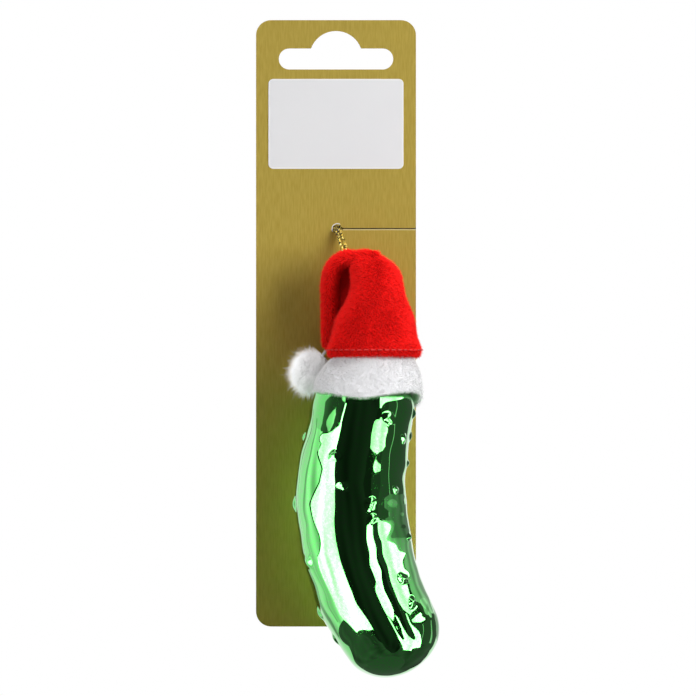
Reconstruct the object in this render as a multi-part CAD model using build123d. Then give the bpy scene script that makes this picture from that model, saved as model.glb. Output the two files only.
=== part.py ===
from build123d import *

import os
from math import acos, atan2, cos, degrees, pi, radians, sin, sqrt

os.makedirs("parts", exist_ok=True)

# A blown-glass pickle in a plush hat hangs by its cord from a hole in a slotted card.
# Frame: origin at the crown of the card's hang slot, on the card's front face.
# +X is to the right seen from the front, +Y is towards the back, +Z is up. Millimetres.

# Hang card with its euro slot, blank label, cord hole, and slit from the hole to the right edge
slot_width = 32.7
slot_height = 6.0
slot_side_margin = 6.5
slot_top_margin = 3.1
hump_rise = 5.0
hump_radius = 7.6
card_height = 173.3
card_thickness = 0.5
card_corner_radius = 4.3
label_side_margin = 3.55
label_drop = 13.7
label_height = 25.7
label_corner_radius = 1.4
label_thickness = 0.12
cord_hole_drop = 56.8
cord_hole_offset = 0.6
cord_hole_diameter = 2.9
slit_width = 0.4

# Blown glass: a bent body, a domed lower end, and a tapered top with a shoulder and a neck
glass_wall = 1.0
bend_radius = 73.1
waist_shift = 3.7
hang_length = 75.5
upper_turn = 10.0
lower_turn = 32.5
upper_radius = 15.0
belly_radius = 15.7
end_radius = 14.1
body_rings = 9
end_dome_length = 12.2
end_edge_radius = 11.2
shoulder_radius = 14.4
shoulder_height = 13.5
shoulder_dome = 11.0
shoulder_edge_radius = 8.9
neck_radius = 4.6
neck_length = 4.0
wart_radius = 1.7
wart_height = 0.7

# Warts: distance along the centreline from the top of the bend, up positive, and the angle
# round the skin from the outer side of the bend through the front
front_warts = (
    (13.0, 176), (10.8, 122), (5.9, 151), (6.5, 182), (1.3, 4), (-1.3, 178), (-2.3, 69),
    (-10.2, 82), (-10.7, 144), (-15.1, 4), (-15.2, 110), (-19.9, 111), (-28.0, 163), (-28.7, 26),
    (-40.9, 131), (-41.1, 4), (-48.2, 8), (-49.0, 131),
)
back_wart_count = 16
back_wart_top = 10.0
back_wart_pitch = 3.9
back_wart_first = 200.0
back_wart_step = 61.8
back_wart_sweep = 140.0

# Metal cap on the neck, and the spring wire whose eye stands above it
cap_clearance = 0.1
cap_wall = 0.3
cap_rim_gap = 0.4
wire_radius = 0.35
wire_clearance = 0.06
eye_radius = 1.6
eye_lift = 1.3
spring_drop = 9.0
spring_knee_drop = 3.0
spring_knee_radius = 3.0

# Doubled metallic cord: a loop from the wire's eye to the card's hole, knotted behind the card
cord_diameter = 1.0
strand_gap = 0.06
eye_clearance = 0.08
eye_turn_share = 0.98
neck_reach = 0.1
pivot_clearance = 0.06
knot_radius = 2.0
knot_length = 3.0
tail_length = 9.0
tail_splay = 1.3
tail_bend_radius = 1.2

# Plush hat: rise above the hem, shift right, shift back, and how far the half width and the
# half depth have come in from the hem's
cloth_thickness = 1.3
hem_rise = 27.2
hem_inset = 0.9
hem_edge = (0.0, 0.4, 0.0, 0.4, 0.4)
hem_ridge = (1.7, 0.7, 0.0, 0.0, 0.0)
wall_sections = (
    (4.5, 0.7, 0.2, 0.9, 0.8),
    (10.2, 1.2, 0.7, 2.6, 2.4),
    (15.9, 1.5, 1.4, 4.9, 4.5),
    (21.7, 1.4, 2.4, 6.1, 6.3),
)
top_sections = (
    (25.2, 0.4, 3.2, 6.7, 7.7),
    (28.2, -1.4, 3.8, 8.9, 10.0),
)
oval_roundness = 0.98

# The hat's tip, folded over to the left and hanging beside the crown: right of the hem's middle,
# behind it, above it, the direction's turn from straight left, half thickness and half depth
tip_sections = (
    (-1.6, 4.4, 24.6, 20, 2.8, 4.4),
    (-5.8, 4.8, 27.2, 0, 2.9, 4.3),
    (-9.4, 5.6, 25.8, -45, 3.0, 4.1),
    (-11.2, 6.7, 21.2, -82, 3.1, 3.9),
    (-11.3, 7.8, 14.8, -90, 3.0, 3.5),
    (-11.7, 8.8, 7.8, -86, 2.6, 2.9),
    (-12.8, 9.5, 2.2, -80, 1.3, 1.5),
)

# Fleece band, its pile thicker at the foot than at the hem
band_height = 11.2
band_gap = 0.1
band_grip = 2.6
band_fit = 0.1
band_sections = ((0.0, -0.9), (3.0, 0.6), (8.0, 1.3), (band_height, 0.6))
stitch_count = 44
stitch_length = 1.3
stitch_radius = 0.2
stitch_lift = 0.05

# Pom-pom sewn to the tip, resting between the band and the card
pompom_radius = 4.9
pompom_half_height = 6.4
pompom_drop = 6.2
pompom_clearance = 0.35
thread_radius = 0.4
thread_gap = 0.5

# Room between the ornament and the card
card_gap = 0.5

# Sizes that follow from the ones above
card_width = slot_width + 2 * slot_side_margin
label_width = card_width - 2 * label_side_margin
hole_x = cord_hole_offset
hole_z = -cord_hole_drop
cord_radius = cord_diameter / 2
strand_offset = cord_radius + strand_gap / 2
hem_radius = shoulder_radius - hem_inset
band_reach = shoulder_radius + max(swell for _, swell in band_sections)
axis_depth = max(belly_radius + wart_height, band_reach) + card_gap
axis_y = -axis_depth
waist_x = hole_x + waist_shift
waist_z = hole_z - hang_length
bend_turn = upper_turn + lower_turn


def bend_plane(turn):
    """Plane across the bend's centreline, its normal pointing up along it."""
    a = radians(turn)
    origin = (waist_x + bend_radius * (1 - cos(a)), axis_y, waist_z + bend_radius * sin(a))
    return Plane(origin=origin, x_dir=(0, 1, 0), z_dir=(sin(a), 0, cos(a)))


top_plane = bend_plane(upper_turn)
bend_length = radians(bend_turn) * bend_radius


def dome_arcs(reach, rise, edge, stop):
    """Two tangent arcs that close a dome: one of the edge's radius, and a flatter one above it.

    They start level at the reach and end where the dome is as narrow as stop.
    """
    flat = ((reach - edge) ** 2 + rise**2 - edge**2) / (2 * (rise - edge))
    lean = degrees(atan2(flat - rise, reach - edge))
    last = degrees(acos(stop / flat))
    return [
        CenterArc((reach - edge, 0), edge, 0, lean),
        CenterArc((0, rise - flat), flat, lean, last - lean),
    ]


shoulder_arcs = dome_arcs(shoulder_radius, shoulder_dome, shoulder_edge_radius, neck_radius)
neck_top = shoulder_height + (shoulder_arcs[1] @ 1).Y + neck_length
cap_top = neck_top + cap_clearance + cap_wall
eye_height = cap_top + eye_lift
hem_middle = top_plane.from_local_coords((0, 0, hem_rise))


def flat_sheet(outline, thickness):
    """Sheet behind the front face's plane, from an outline drawn in X and Z."""
    return extrude(Plane.XZ * outline, amount=-thickness)


def make_card():
    """Card with rounded corners, cut by the slot, the cord hole and the slit."""
    middle_z = slot_top_margin - card_height / 2
    outline = Pos(0, middle_z) * RectangleRounded(card_width, card_height, card_corner_radius)
    slot = Pos(0, -hump_rise - slot_height / 2) * SlotOverall(slot_width, slot_height)
    hump_box = Pos(0, -hump_rise / 2 - slot_height / 4) * Rectangle(
        2 * hump_radius, hump_rise + slot_height / 2
    )
    hump = Pos(0, -hump_radius) * Circle(hump_radius) & hump_box
    hole = Pos(hole_x, hole_z) * Circle(cord_hole_diameter / 2)
    slit_length = card_width / 2 - hole_x
    slit = Pos(hole_x, hole_z) * Rectangle(
        slit_length + slit_width, slit_width, align=(Align.MIN, Align.CENTER)
    )
    return flat_sheet(outline - slot - hump - hole - slit, card_thickness)


def make_label():
    """Blank label on the card's front face."""
    outline = Pos(0, -label_drop - label_height / 2) * RectangleRounded(
        label_width, label_height, label_corner_radius
    )
    return flat_sheet(outline, -label_thickness)


def skin_radius(share):
    """Radius of the body at a share of the bend: a parabola through its three radii."""
    top = upper_radius * (1 - share) * (1 - 2 * share)
    middle = belly_radius * 4 * share * (1 - share)
    end = end_radius * share * (2 * share - 1)
    return top + middle + end


def pickle_form(inset, bore_reach=0.0):
    """The pickle's form, drawn in by inset: bent body, end dome, and top with its neck."""
    rings = []
    for i in range(body_rings):
        share = i / (body_rings - 1)
        ring = Circle(skin_radius(share) - inset)
        rings.append(bend_plane(upper_turn - bend_turn * share) * ring)
    body = loft(rings)
    reach = end_radius - inset
    depth = end_dome_length - inset
    arcs = dome_arcs(reach, depth, end_edge_radius - inset, 0)
    outline = arcs + [Line((0, depth), (0, 0)), Line((0, 0), (reach, 0))]
    end = revolve(Plane.XZ * make_face(outline), axis=Axis.Z)
    dome = bend_plane(-lower_turn) * (Rot(X=180) * end)
    base = upper_radius - inset
    shoulder = shoulder_radius - inset
    neck = neck_radius - inset
    arcs = dome_arcs(shoulder, shoulder_dome - inset, shoulder_edge_radius - inset, neck)
    arcs = [Pos(0, shoulder_height) * arc for arc in arcs]
    mouth = neck_top + bore_reach
    outline = [Line((0, 0), (base, 0)), Line((base, 0), (shoulder, shoulder_height))]
    outline += arcs
    outline += [
        Line(arcs[1] @ 1, (neck, mouth)),
        Line((neck, mouth), (0, mouth)),
        Line((0, mouth), (0, 0)),
    ]
    top = top_plane * revolve(Plane.XZ * make_face(outline), axis=Axis.Z)
    return body + dome + top


def skin_plane(along, around, sink):
    """Plane at a depth under the skin, its normal pointing straight out of it.

    along is the distance up the centreline from the top of the bend, and around the angle
    from the bend's outer side through the front.
    """
    if along >= 0:
        across = top_plane
        radius = upper_radius + (shoulder_radius - upper_radius) * along / shoulder_height
    else:
        across = bend_plane(upper_turn + degrees(along / bend_radius))
        radius = skin_radius(-along / bend_length)
    b = radians(around)
    out = across.y_dir * cos(b) - across.x_dir * sin(b)
    middle = across.origin + across.z_dir * max(along, 0)
    return Plane(origin=middle + out * (radius - sink), z_dir=out)


def make_glass():
    """Hollow glass with its warts, open at the neck."""
    warts = list(front_warts)
    for i in range(back_wart_count):
        around = back_wart_first + (back_wart_step * i) % back_wart_sweep
        warts.append((back_wart_top - back_wart_pitch * i, around))
    glass = pickle_form(0)
    for along, around in warts:
        glass += skin_plane(along, around, wart_radius - wart_height) * Sphere(wart_radius)
    return glass - pickle_form(glass_wall, bore_reach=glass_wall)


def make_cap():
    """Cup over the neck, with two holes for the wire's legs."""
    inside = neck_radius + cap_clearance
    skirt = neck_length - cap_rim_gap + cap_clearance
    cup = Pos(0, 0, cap_top) * Cylinder(
        inside + cap_wall, skirt + cap_wall, align=(Align.CENTER, Align.CENTER, Align.MAX)
    )
    room = Pos(0, 0, cap_top - cap_wall) * Cylinder(
        inside, skirt, align=(Align.CENTER, Align.CENTER, Align.MAX)
    )
    cup -= room
    for side in (-1, 1):
        cup -= Pos(side * eye_radius, 0, cap_top) * Cylinder(
            wire_radius + wire_clearance, 3 * cap_wall
        )
    return top_plane * cup


def make_wire():
    """Spring wire: an eye above the cap, and two legs that press outwards in the neck."""
    foot = neck_radius - glass_wall - wire_radius - wire_clearance
    knee_z = cap_top - cap_wall - spring_knee_drop
    foot_z = cap_top - spring_drop
    points = [(foot, foot_z), (eye_radius, knee_z), (eye_radius, eye_height)]
    leg = FilletPolyline(*points, radius=spring_knee_radius)
    eye = CenterArc((0, eye_height), eye_radius, 0, 180)
    path = leg + eye + mirror(leg, about=Plane.YZ)
    path = Plane.XZ * path
    section = Plane(origin=path @ 0, z_dir=path % 0) * Circle(wire_radius)
    return top_plane * sweep(section, path=path)


def cord_corners():
    """The loop's corners: the hole's pivot, the two sides of the eye, and the pivot again."""
    pivot = Vector(hole_x, -neck_reach - cord_radius - pivot_clearance, hole_z)
    eye = top_plane.from_local_coords((0, 0, eye_height))
    pull = (pivot - eye).normalized()
    across = top_plane.y_dir
    in_eye = (pull - across * pull.dot(across)).normalized()
    contact = eye + in_eye * eye_radius
    pull = (pivot - contact).normalized()
    side = (across - pull * across.dot(pull)).normalized()
    if side.X < 0:
        side = -side
    turn = wire_radius + cord_radius + eye_clearance
    low = contact - pull * turn
    apart = Vector(strand_offset, 0, 0)
    return [pivot + apart, low + side * turn, low - side * turn, pivot - apart], turn


def make_cord_loop():
    """Both strands from the card's hole to the wire's eye, where the cord turns round the wire."""
    corners, turn = cord_corners()
    radii = [eye_turn_share * turn] * 2
    path = FilletPolyline(*corners, radius=radii)
    section = Plane(origin=path @ 0, z_dir=path % 0) * Circle(cord_radius)
    tube = sweep(section, path=path)
    print("cord loop: radii", [round(r, 2) for r in radii], "length", round(path.length, 2))
    print("cord loop: volume over section by length", tube.volume / (pi * cord_radius**2 * path.length))
    return tube


def make_cord_neck():
    """The two strands where they pass through the hole."""
    length = card_thickness + 2 * neck_reach
    strands = []
    for side in (-1, 1):
        strand = extrude(Plane.XZ * Circle(cord_radius), amount=-length)
        strands.append(Pos(hole_x + side * strand_offset, -neck_reach, hole_z) * strand)
    return Compound(children=strands)


def make_cord_knot():
    """Knot drawn up behind the card, with the cord's two cut ends hanging from it."""
    start = card_thickness + neck_reach + pivot_clearance
    waist = knot_radius - cord_radius / 2
    half = knot_length / 2
    outline = [
        Line((0, 0), (cord_diameter, 0)),
        ThreePointArc((cord_diameter, 0), (knot_radius, half / 2), (waist, half)),
        ThreePointArc((waist, half), (knot_radius, 1.5 * half), (cord_diameter, knot_length)),
        Line((cord_diameter, knot_length), (0, knot_length)),
        Line((0, knot_length), (0, 0)),
    ]
    drum = revolve(Plane.XZ * make_face(outline), axis=Axis.Z)
    knot = Pos(hole_x, start, hole_z) * (Rot(X=-90) * drum)
    back = start + knot_length
    for side in (-1, 1):
        points = [
            (hole_x + side * strand_offset, back - cord_diameter, hole_z),
            (hole_x + side * strand_offset, back + cord_diameter, hole_z),
            (hole_x + side * tail_splay, back + cord_diameter, hole_z - tail_length),
        ]
        path = FilletPolyline(*points, radius=tail_bend_radius)
        section = Plane(origin=path @ 0, z_dir=path % 0) * Circle(cord_radius)
        knot += sweep(section, path=path)
    return knot


def oval(middle, half_width, half_depth):
    """Level section of the hat: a rounded oval round a point."""
    corner = oval_roundness * min(half_width, half_depth)
    return Plane(origin=middle) * RectangleRounded(2 * half_width, 2 * half_depth, corner)


def crown_oval(section, grow=0.0):
    """One of the crown's sections, grown outwards."""
    rise, right, back, width_in, depth_in = section
    middle = hem_middle + Vector(right, back, rise)
    return oval(middle, hem_radius - width_in + grow, hem_radius - depth_in + grow)


def tip_oval(section):
    """One of the folded tip's sections, square to the way the tip runs."""
    right, back, rise, turn, half_thickness, half_depth = section
    a = radians(turn)
    middle = hem_middle + Vector(right, back, rise)
    plane = Plane(origin=middle, x_dir=(0, 1, 0), z_dir=(-cos(a), 0, sin(a)))
    corner = oval_roundness * min(half_thickness, half_depth)
    return plane * RectangleRounded(2 * half_depth, 2 * half_thickness, corner)


def make_crown():
    """Plush cone, hollow over the cap, with its tip folded over and a way out for the cord."""
    walls = (hem_edge, hem_ridge) + wall_sections
    crown = loft([crown_oval(s) for s in walls + top_sections])
    tip = loft([tip_oval(s) for s in tip_sections])
    hollow = loft([crown_oval(s, -cloth_thickness) for s in walls])
    crown = crown + tip - hollow
    corners, _ = cord_corners()
    for top, foot in ((corners[0], corners[1]), (corners[3], corners[2])):
        line = Line(foot, top)
        plane = Plane(origin=foot, z_dir=line % 0)
        crown -= extrude(plane * Circle(cord_radius + strand_gap), amount=line.length)
    return crown


def make_band():
    """Fleece ring under the hem, seated on the glass's shoulder."""
    top = hem_middle - Vector(0, 0, band_gap)
    rings = []
    for drop, swell in band_sections:
        reach = shoulder_radius + swell
        rings.append(oval(top - Vector(0, 0, drop), reach, reach))
    room = Plane(origin=top) * Cylinder(shoulder_radius - band_grip, 3 * band_height)
    return loft(rings) - room - pickle_form(-band_fit)


def make_stitches():
    """Thread of the hem's seam: short stitches in line round the crown."""
    seam = crown_oval(hem_ridge, stitch_lift + stitch_radius).wire()
    stitches = []
    for i in range(stitch_count):
        share = i / stitch_count
        plane = Plane(origin=seam @ share, z_dir=seam % share)
        stitches.append(extrude(plane * Circle(stitch_radius), amount=stitch_length / 2, both=True))
    return Compound(children=stitches)


def pompom_places():
    """The thread's upper end at the tip, and the pom-pom's middle between band and card."""
    right, back, rise = tip_sections[-1][:3]
    pivot = hem_middle + Vector(right, back, rise - thread_gap)
    depth = -pompom_radius - card_gap
    reach = band_reach + pompom_radius + pompom_clearance
    left = sqrt(reach**2 - (depth - axis_y) ** 2)
    return pivot, Vector(hem_middle.X - left, depth, pivot.Z - pompom_drop)


def make_thread():
    """Thread from the hat's tip to the pom-pom."""
    pivot, middle = pompom_places()
    way = (middle - pivot).normalized()
    level = (way.X**2 + way.Y**2) / pompom_radius**2
    buried = 1 / sqrt(level + way.Z**2 / pompom_half_height**2)
    length = (middle - pivot).length - buried - stitch_lift
    return extrude(Plane(origin=pivot, z_dir=way) * Circle(thread_radius), amount=length)


def make_pompom():
    """Pom-pom, taller than wide where the band presses it."""
    side = EllipticalCenterArc((0, 0), pompom_radius, pompom_half_height, -90, arc_size=180)
    face = make_face([side, Line(side @ 1, side @ 0)])
    return Pos(*pompom_places()[1]) * revolve(Plane.XZ * face, axis=Axis.Z)


nodes = {
    "hang_card": make_card(),
    "blank_label": make_label(),
    "cord_knot": make_cord_knot(),
    "cord_neck": make_cord_neck(),
    "cord_loop": make_cord_loop(),
    "glass_pickle": make_glass(),
    "ornament_cap": make_cap(),
    "hanger_wire": make_wire(),
    "hat_crown": make_crown(),
    "hat_band": make_band(),
    "hem_stitches": make_stitches(),
    "pompom_thread": make_thread(),
    "hat_pompom": make_pompom(),
}
for name, shape in nodes.items():
    export_step(shape, f"parts/{name}.step")

pivot, middle = pompom_places()
print("hole pivot", cord_corners()[0][0], "thread pivot", pivot, "pompom", middle, "hem", hem_middle)
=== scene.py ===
"""Dresses the pickle ornament on its hang card: glass, plush hat, cord, card and studio.

Lengths in the classes are millimetres in the part's own frame. The origin is at the crown of the
card's hang slot, +X is right seen from the front, +Y is back and +Z is up.
"""

import logging
import math
from collections.abc import Callable
from dataclasses import dataclass
from enum import Enum

import bpy
import numpy as np
from numpy.typing import NDArray
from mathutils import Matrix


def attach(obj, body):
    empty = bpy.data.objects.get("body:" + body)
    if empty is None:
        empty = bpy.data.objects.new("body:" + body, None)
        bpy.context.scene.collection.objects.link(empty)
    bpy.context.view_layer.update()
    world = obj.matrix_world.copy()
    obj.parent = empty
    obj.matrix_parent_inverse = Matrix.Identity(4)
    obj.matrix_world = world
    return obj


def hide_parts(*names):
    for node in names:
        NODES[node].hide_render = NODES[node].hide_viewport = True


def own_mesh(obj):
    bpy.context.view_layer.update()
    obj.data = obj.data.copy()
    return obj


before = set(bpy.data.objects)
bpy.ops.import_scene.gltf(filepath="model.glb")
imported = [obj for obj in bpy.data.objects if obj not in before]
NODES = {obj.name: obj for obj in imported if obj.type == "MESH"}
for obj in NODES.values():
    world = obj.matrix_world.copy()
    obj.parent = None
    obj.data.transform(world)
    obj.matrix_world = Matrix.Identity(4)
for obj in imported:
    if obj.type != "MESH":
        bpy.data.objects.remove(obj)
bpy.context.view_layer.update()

MM = 0.001
TURN = 2 * math.pi
BAKE_MAP = "OFBake"
WHITE = (1, 1, 1, 1)
DOWN = np.array([0, 0, -1.0])

# Places that two pieces share: the card's hole, where the cord has worn it, and the thread's top.
HOLE = (0.6, 0.0, -56.8)
WORN_HOLE = (0.4, -56.6)
THREAD_TOP = (-2.666, -7.4, -91.12)

Array = NDArray[np.float64]
Faces = NDArray[np.int64]
Point = tuple[float, float, float]
Colour = tuple[float, float, float, float]
Piece = bpy.types.Object
Mesh = bpy.types.Mesh
Socket = bpy.types.NodeSocket

log = logging.getLogger("pickle_ornament")


class Body(Enum):
    """The bodies that pieces ride on."""

    CARD = "card"
    KNOT = "knot"
    CORD = "cord"
    ORNAMENT = "ornament"
    POMPOM = "pompom"


class Slot(Enum):
    """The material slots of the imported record."""

    GOLD_CARD = "gold_card"
    LABEL_PAPER = "label_paper"
    GOLD_CORD = "gold_cord"
    GREEN_GLASS = "green_glass"
    CAP_METAL = "cap_metal"
    WIRE_STEEL = "wire_steel"
    RED_PLUSH = "red_plush"
    WHITE_FLEECE = "white_fleece"
    RED_THREAD = "red_thread"
    WHITE_THREAD = "white_thread"


def unit(vectors: Array) -> Array:
    """Vectors divided by their lengths."""
    return vectors / np.maximum(np.linalg.norm(vectors, axis=-1, keepdims=True), 1e-12)


def round_turn(count: int) -> Array:
    """Angles of that many even steps round a full turn."""
    return TURN * np.arange(count) / count


def signed_power(values: Array, power: float) -> Array:
    """Values raised to a power by size, with their signs kept: it squares off a sine or cosine."""
    return np.sign(values) * np.abs(values) ** power


def run_length(line: Array) -> Array:
    """Distance along a line at each of its points."""
    return np.concatenate([[0], np.cumsum(np.linalg.norm(np.diff(line, axis=0), axis=1))])


def evenly(line: Array, count: int) -> Array:
    """The line again, with count points at equal distances along it.

    Args:
        line: the line's points.
        count: how many points are wanted.

    Returns:
        The new points.
    """
    run = run_length(line)
    at = np.linspace(0, run[-1], count)
    return np.stack([np.interp(at, run, column) for column in line.T], axis=1)


def smooth_through(knots: Array, values: Array, at: Array) -> Array:
    """Natural cubic spline: straight at both ends, with no jump in bend at the knots.

    Args:
        knots: rising places of the known values.
        values: one row of values for each knot.
        at: the places asked for.

    Returns:
        One row of values for each place.
    """
    knots, values = np.asarray(knots, float), np.asarray(values, float)
    step = np.diff(knots)
    bend = np.eye(len(knots))
    inner = np.arange(1, len(knots) - 1)
    bend[inner, inner - 1] = step[:-1]
    bend[inner, inner] = 2 * (step[:-1] + step[1:])
    bend[inner, inner + 1] = step[1:]
    rise = np.zeros_like(values)
    rise[1:-1] = 6 * np.diff(np.diff(values, axis=0) / step[:, None], axis=0)
    second = np.linalg.solve(bend, rise)
    i = np.clip(np.searchsorted(knots, at) - 1, 0, len(step) - 1)
    width = step[i][:, None]
    b = (at[:, None] - knots[i][:, None]) / width
    a = 1 - b
    curve = ((a**3 - a) * second[i] + (b**3 - b) * second[i + 1]) * width**2 / 6
    return a * values[i] + b * values[i + 1] + curve


@dataclass(frozen=True)
class Waves:
    """Soft unevenness: a sum of cosines that close up round the piece, with seeded phases.

    Attributes:
        size: height of the waves, before those with more crests are lowered.
        seed: seed of the draws.
        count: how many waves are added.
        lobes: fewest and most crests round the piece.
        lengths: shortest and longest wave along it.
        fading: how much each crest lowers its wave.
    """

    size: float
    seed: int
    count: int = 12
    lobes: tuple[int, int] = (1, 6)
    lengths: tuple[float, float] = (12, 45)
    fading: float = 0.35

    def at(self, around: Array, along: Array) -> Array:
        """Height of all the waves together.

        Args:
            around: angle round the piece, in radians.
            along: distance along the piece.

        Returns:
            The height at each place.
        """
        draw = np.random.default_rng(self.seed)
        height = np.zeros(np.broadcast(around, along).shape)
        fewest, most = self.lobes
        for i in range(self.count):
            lobes = fewest + i % (most - fewest + 1)
            length = draw.uniform(*self.lengths)
            phase = draw.uniform(0, TURN)
            lean = draw.choice([-1, 1])
            share = self.size / (1 + self.fading * lobes)
            height += share * np.cos(lobes * around + lean * TURN * along / length + phase)
        return height


def grid_faces(grid: Array) -> Array:
    """Corners of a grid's cells: a point, the next in its row, the next in both, the next row's."""
    corners = [grid[:-1, :-1], grid[:-1, 1:], grid[1:, 1:], grid[1:, :-1]]
    return np.stack(corners, axis=2).reshape(-1, 4, *grid.shape[2:])


def unit_grid(rows: int, columns: int) -> Array:
    """Points of an even grid over a square of side one."""
    return np.stack(np.meshgrid(np.linspace(0, 1, columns), np.linspace(0, 1, rows)), axis=-1)


def read_rows(items: bpy.types.bpy_prop_collection, name: str, kind: type = np.float32) -> Array:
    """A property of three numbers of each item of a mesh, as rows.

    Args:
        items: the mesh's vertices or triangles.
        name: the property's name.
        kind: the kind of number.

    Returns:
        One row for each item.
    """
    rows = np.zeros(3 * len(items), kind)
    items.foreach_get(name, rows)
    return rows.reshape(-1, 3)


@dataclass
class Skin:
    """Points and faces of a mesh, with a place on the bake map for each face corner."""

    points: Array
    quads: Faces
    triangles: Faces
    quad_places: Array
    triangle_places: Array
    marks: dict[str, Array] | None = None

    @staticmethod
    def over_rings(rings: Array) -> "Skin":
        """Closed skin over rings that wrap round; the first and last ring draw in to poles.

        Args:
            rings: points by ring, from the lower pole up, and round each ring.

        Returns:
            The skin, its faces pointing outwards where rings run counter-clockwise from above.
        """
        rows, columns = rings.shape[:2]
        poles = rings[[0, -1]].mean(axis=1)
        points = np.concatenate([poles[:1], rings[1:-1].reshape(-1, 3), poles[1:]])
        index = 1 + np.arange((rows - 2) * columns).reshape(rows - 2, columns)
        index = np.pad(index, ((0, 0), (0, 1)), mode="wrap")
        low, high = np.zeros(columns, int), np.full(columns, len(points) - 1)
        lower = [low, index[0, 1:], index[0, :-1]]
        upper = [high, index[-1, :-1], index[-1, 1:]]
        place = unit_grid(rows, columns + 1)
        lower_places = [place[0, :-1], place[1, 1:], place[1, :-1]]
        upper_places = [place[-1, :-1], place[-2, :-1], place[-2, 1:]]
        fans, fan_places = (
            np.concatenate([np.stack(fan, axis=1) for fan in pair])
            for pair in ((lower, upper), (lower_places, upper_places))
        )
        return Skin(points, grid_faces(index), fans, grid_faces(place[1:-1]), fan_places)

    @staticmethod
    def over_tyre(rings: Array) -> "Skin":
        """Closed skin over rings that wrap both ways, as a tyre's do.

        Args:
            rings: points by place in the section, and round the tyre.

        Returns:
            The skin.
        """
        rows, columns = rings.shape[:2]
        index = np.pad(np.arange(rows * columns).reshape(rows, columns), (0, 1), mode="wrap")
        places = grid_faces(unit_grid(rows + 1, columns + 1))
        no_triangles = np.zeros((0, 3), int), np.zeros((0, 3, 2))
        return Skin(rings.reshape(-1, 3), grid_faces(index), no_triangles[0], places, no_triangles[1])

    @staticmethod
    def tube(middle: Array, first: Array, second: Array, sides: int) -> "Skin":
        """Oval carried along a line and closed at both ends: first by cosine and second by sine.

        Args:
            middle: the line's points.
            first: one half axis of the oval at each point.
            second: the other half axis.
            sides: how many points go round.

        Returns:
            The skin.
        """
        angle = round_turn(sides)[:, None]
        ovals = middle[:, None] + np.cos(angle) * first[:, None] + np.sin(angle) * second[:, None]
        ends = np.repeat(middle[[0, -1]][:, None], sides, axis=1)
        return Skin.over_rings(np.concatenate([ends[:1], ovals, ends[1:]]))

    @staticmethod
    def joined(skins: list["Skin"]) -> "Skin":
        """Several skins as one, their places side by side on the bake map.

        Args:
            skins: the skins, in order.

        Returns:
            The one skin.
        """
        starts = np.cumsum([0] + [len(s.points) for s in skins])
        shift = np.arange(len(skins)) / len(skins)
        squeeze = np.array([1 / len(skins), 1])
        return Skin(
            np.concatenate([s.points for s in skins]),
            np.concatenate([s.quads + n for s, n in zip(skins, starts)]),
            np.concatenate([s.triangles + n for s, n in zip(skins, starts)]),
            np.concatenate([s.quad_places * squeeze + [x, 0] for s, x in zip(skins, shift)]),
            np.concatenate([s.triangle_places * squeeze + [x, 0] for s, x in zip(skins, shift)]),
        )

    def mesh(self, name: str) -> Mesh:
        """The skin as a Blender mesh in metres, smooth shaded.

        Args:
            name: the mesh's name.

        Returns:
            The mesh, with its bake map and its marks.
        """
        mesh = bpy.data.meshes.new(name)
        corners = np.concatenate([self.quads.ravel(), self.triangles.ravel()])
        sizes = np.repeat([4, 3], [len(self.quads), len(self.triangles)])
        mesh.vertices.add(len(self.points))
        mesh.vertices.foreach_set("co", (self.points * MM).astype(np.float32).ravel())
        mesh.loops.add(len(corners))
        mesh.loops.foreach_set("vertex_index", corners.astype(np.int32))
        mesh.polygons.add(len(sizes))
        mesh.polygons.foreach_set("loop_start", (np.cumsum(sizes) - sizes).astype(np.int32))
        mesh.update(calc_edges=True)
        places = np.concatenate([self.quad_places.ravel(), self.triangle_places.ravel()])
        mesh.uv_layers.new(name=BAKE_MAP).data.foreach_set("uv", places.astype(np.float32))
        for mark, values in (self.marks or {}).items():
            layer = mesh.attributes.new(mark, "FLOAT", "POINT")
            layer.data.foreach_set("value", values.astype(np.float32))
        mesh.shade_smooth()
        return mesh


def add_object(name: str, data: bpy.types.ID) -> Piece:
    """A new object in the scene, at the origin.

    Args:
        name: the object's name.
        data: its mesh, lamp or camera.

    Returns:
        The object.
    """
    piece = bpy.data.objects.new(name, data)
    bpy.context.scene.collection.objects.link(piece)
    return piece


def place_piece(name: str, shape: Skin | Mesh, finish: "Finish", body: Body, *nodes: str) -> Piece:
    """Puts a shape into the scene as a piece of the object.

    Args:
        name: the piece's name.
        shape: its skin, or its final mesh.
        finish: its finish.
        body: the body that it rides on.
        nodes: the nodes that it stands for.

    Returns:
        The new object.
    """
    mesh = shape.mesh(name) if isinstance(shape, Skin) else shape
    piece = add_object(name, mesh)
    finish.dress(piece)
    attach(piece, body.value)
    if nodes:
        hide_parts(*nodes)
    log.info("%s: %d faces on %s", name, len(mesh.polygons), body.value)
    return piece


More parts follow.
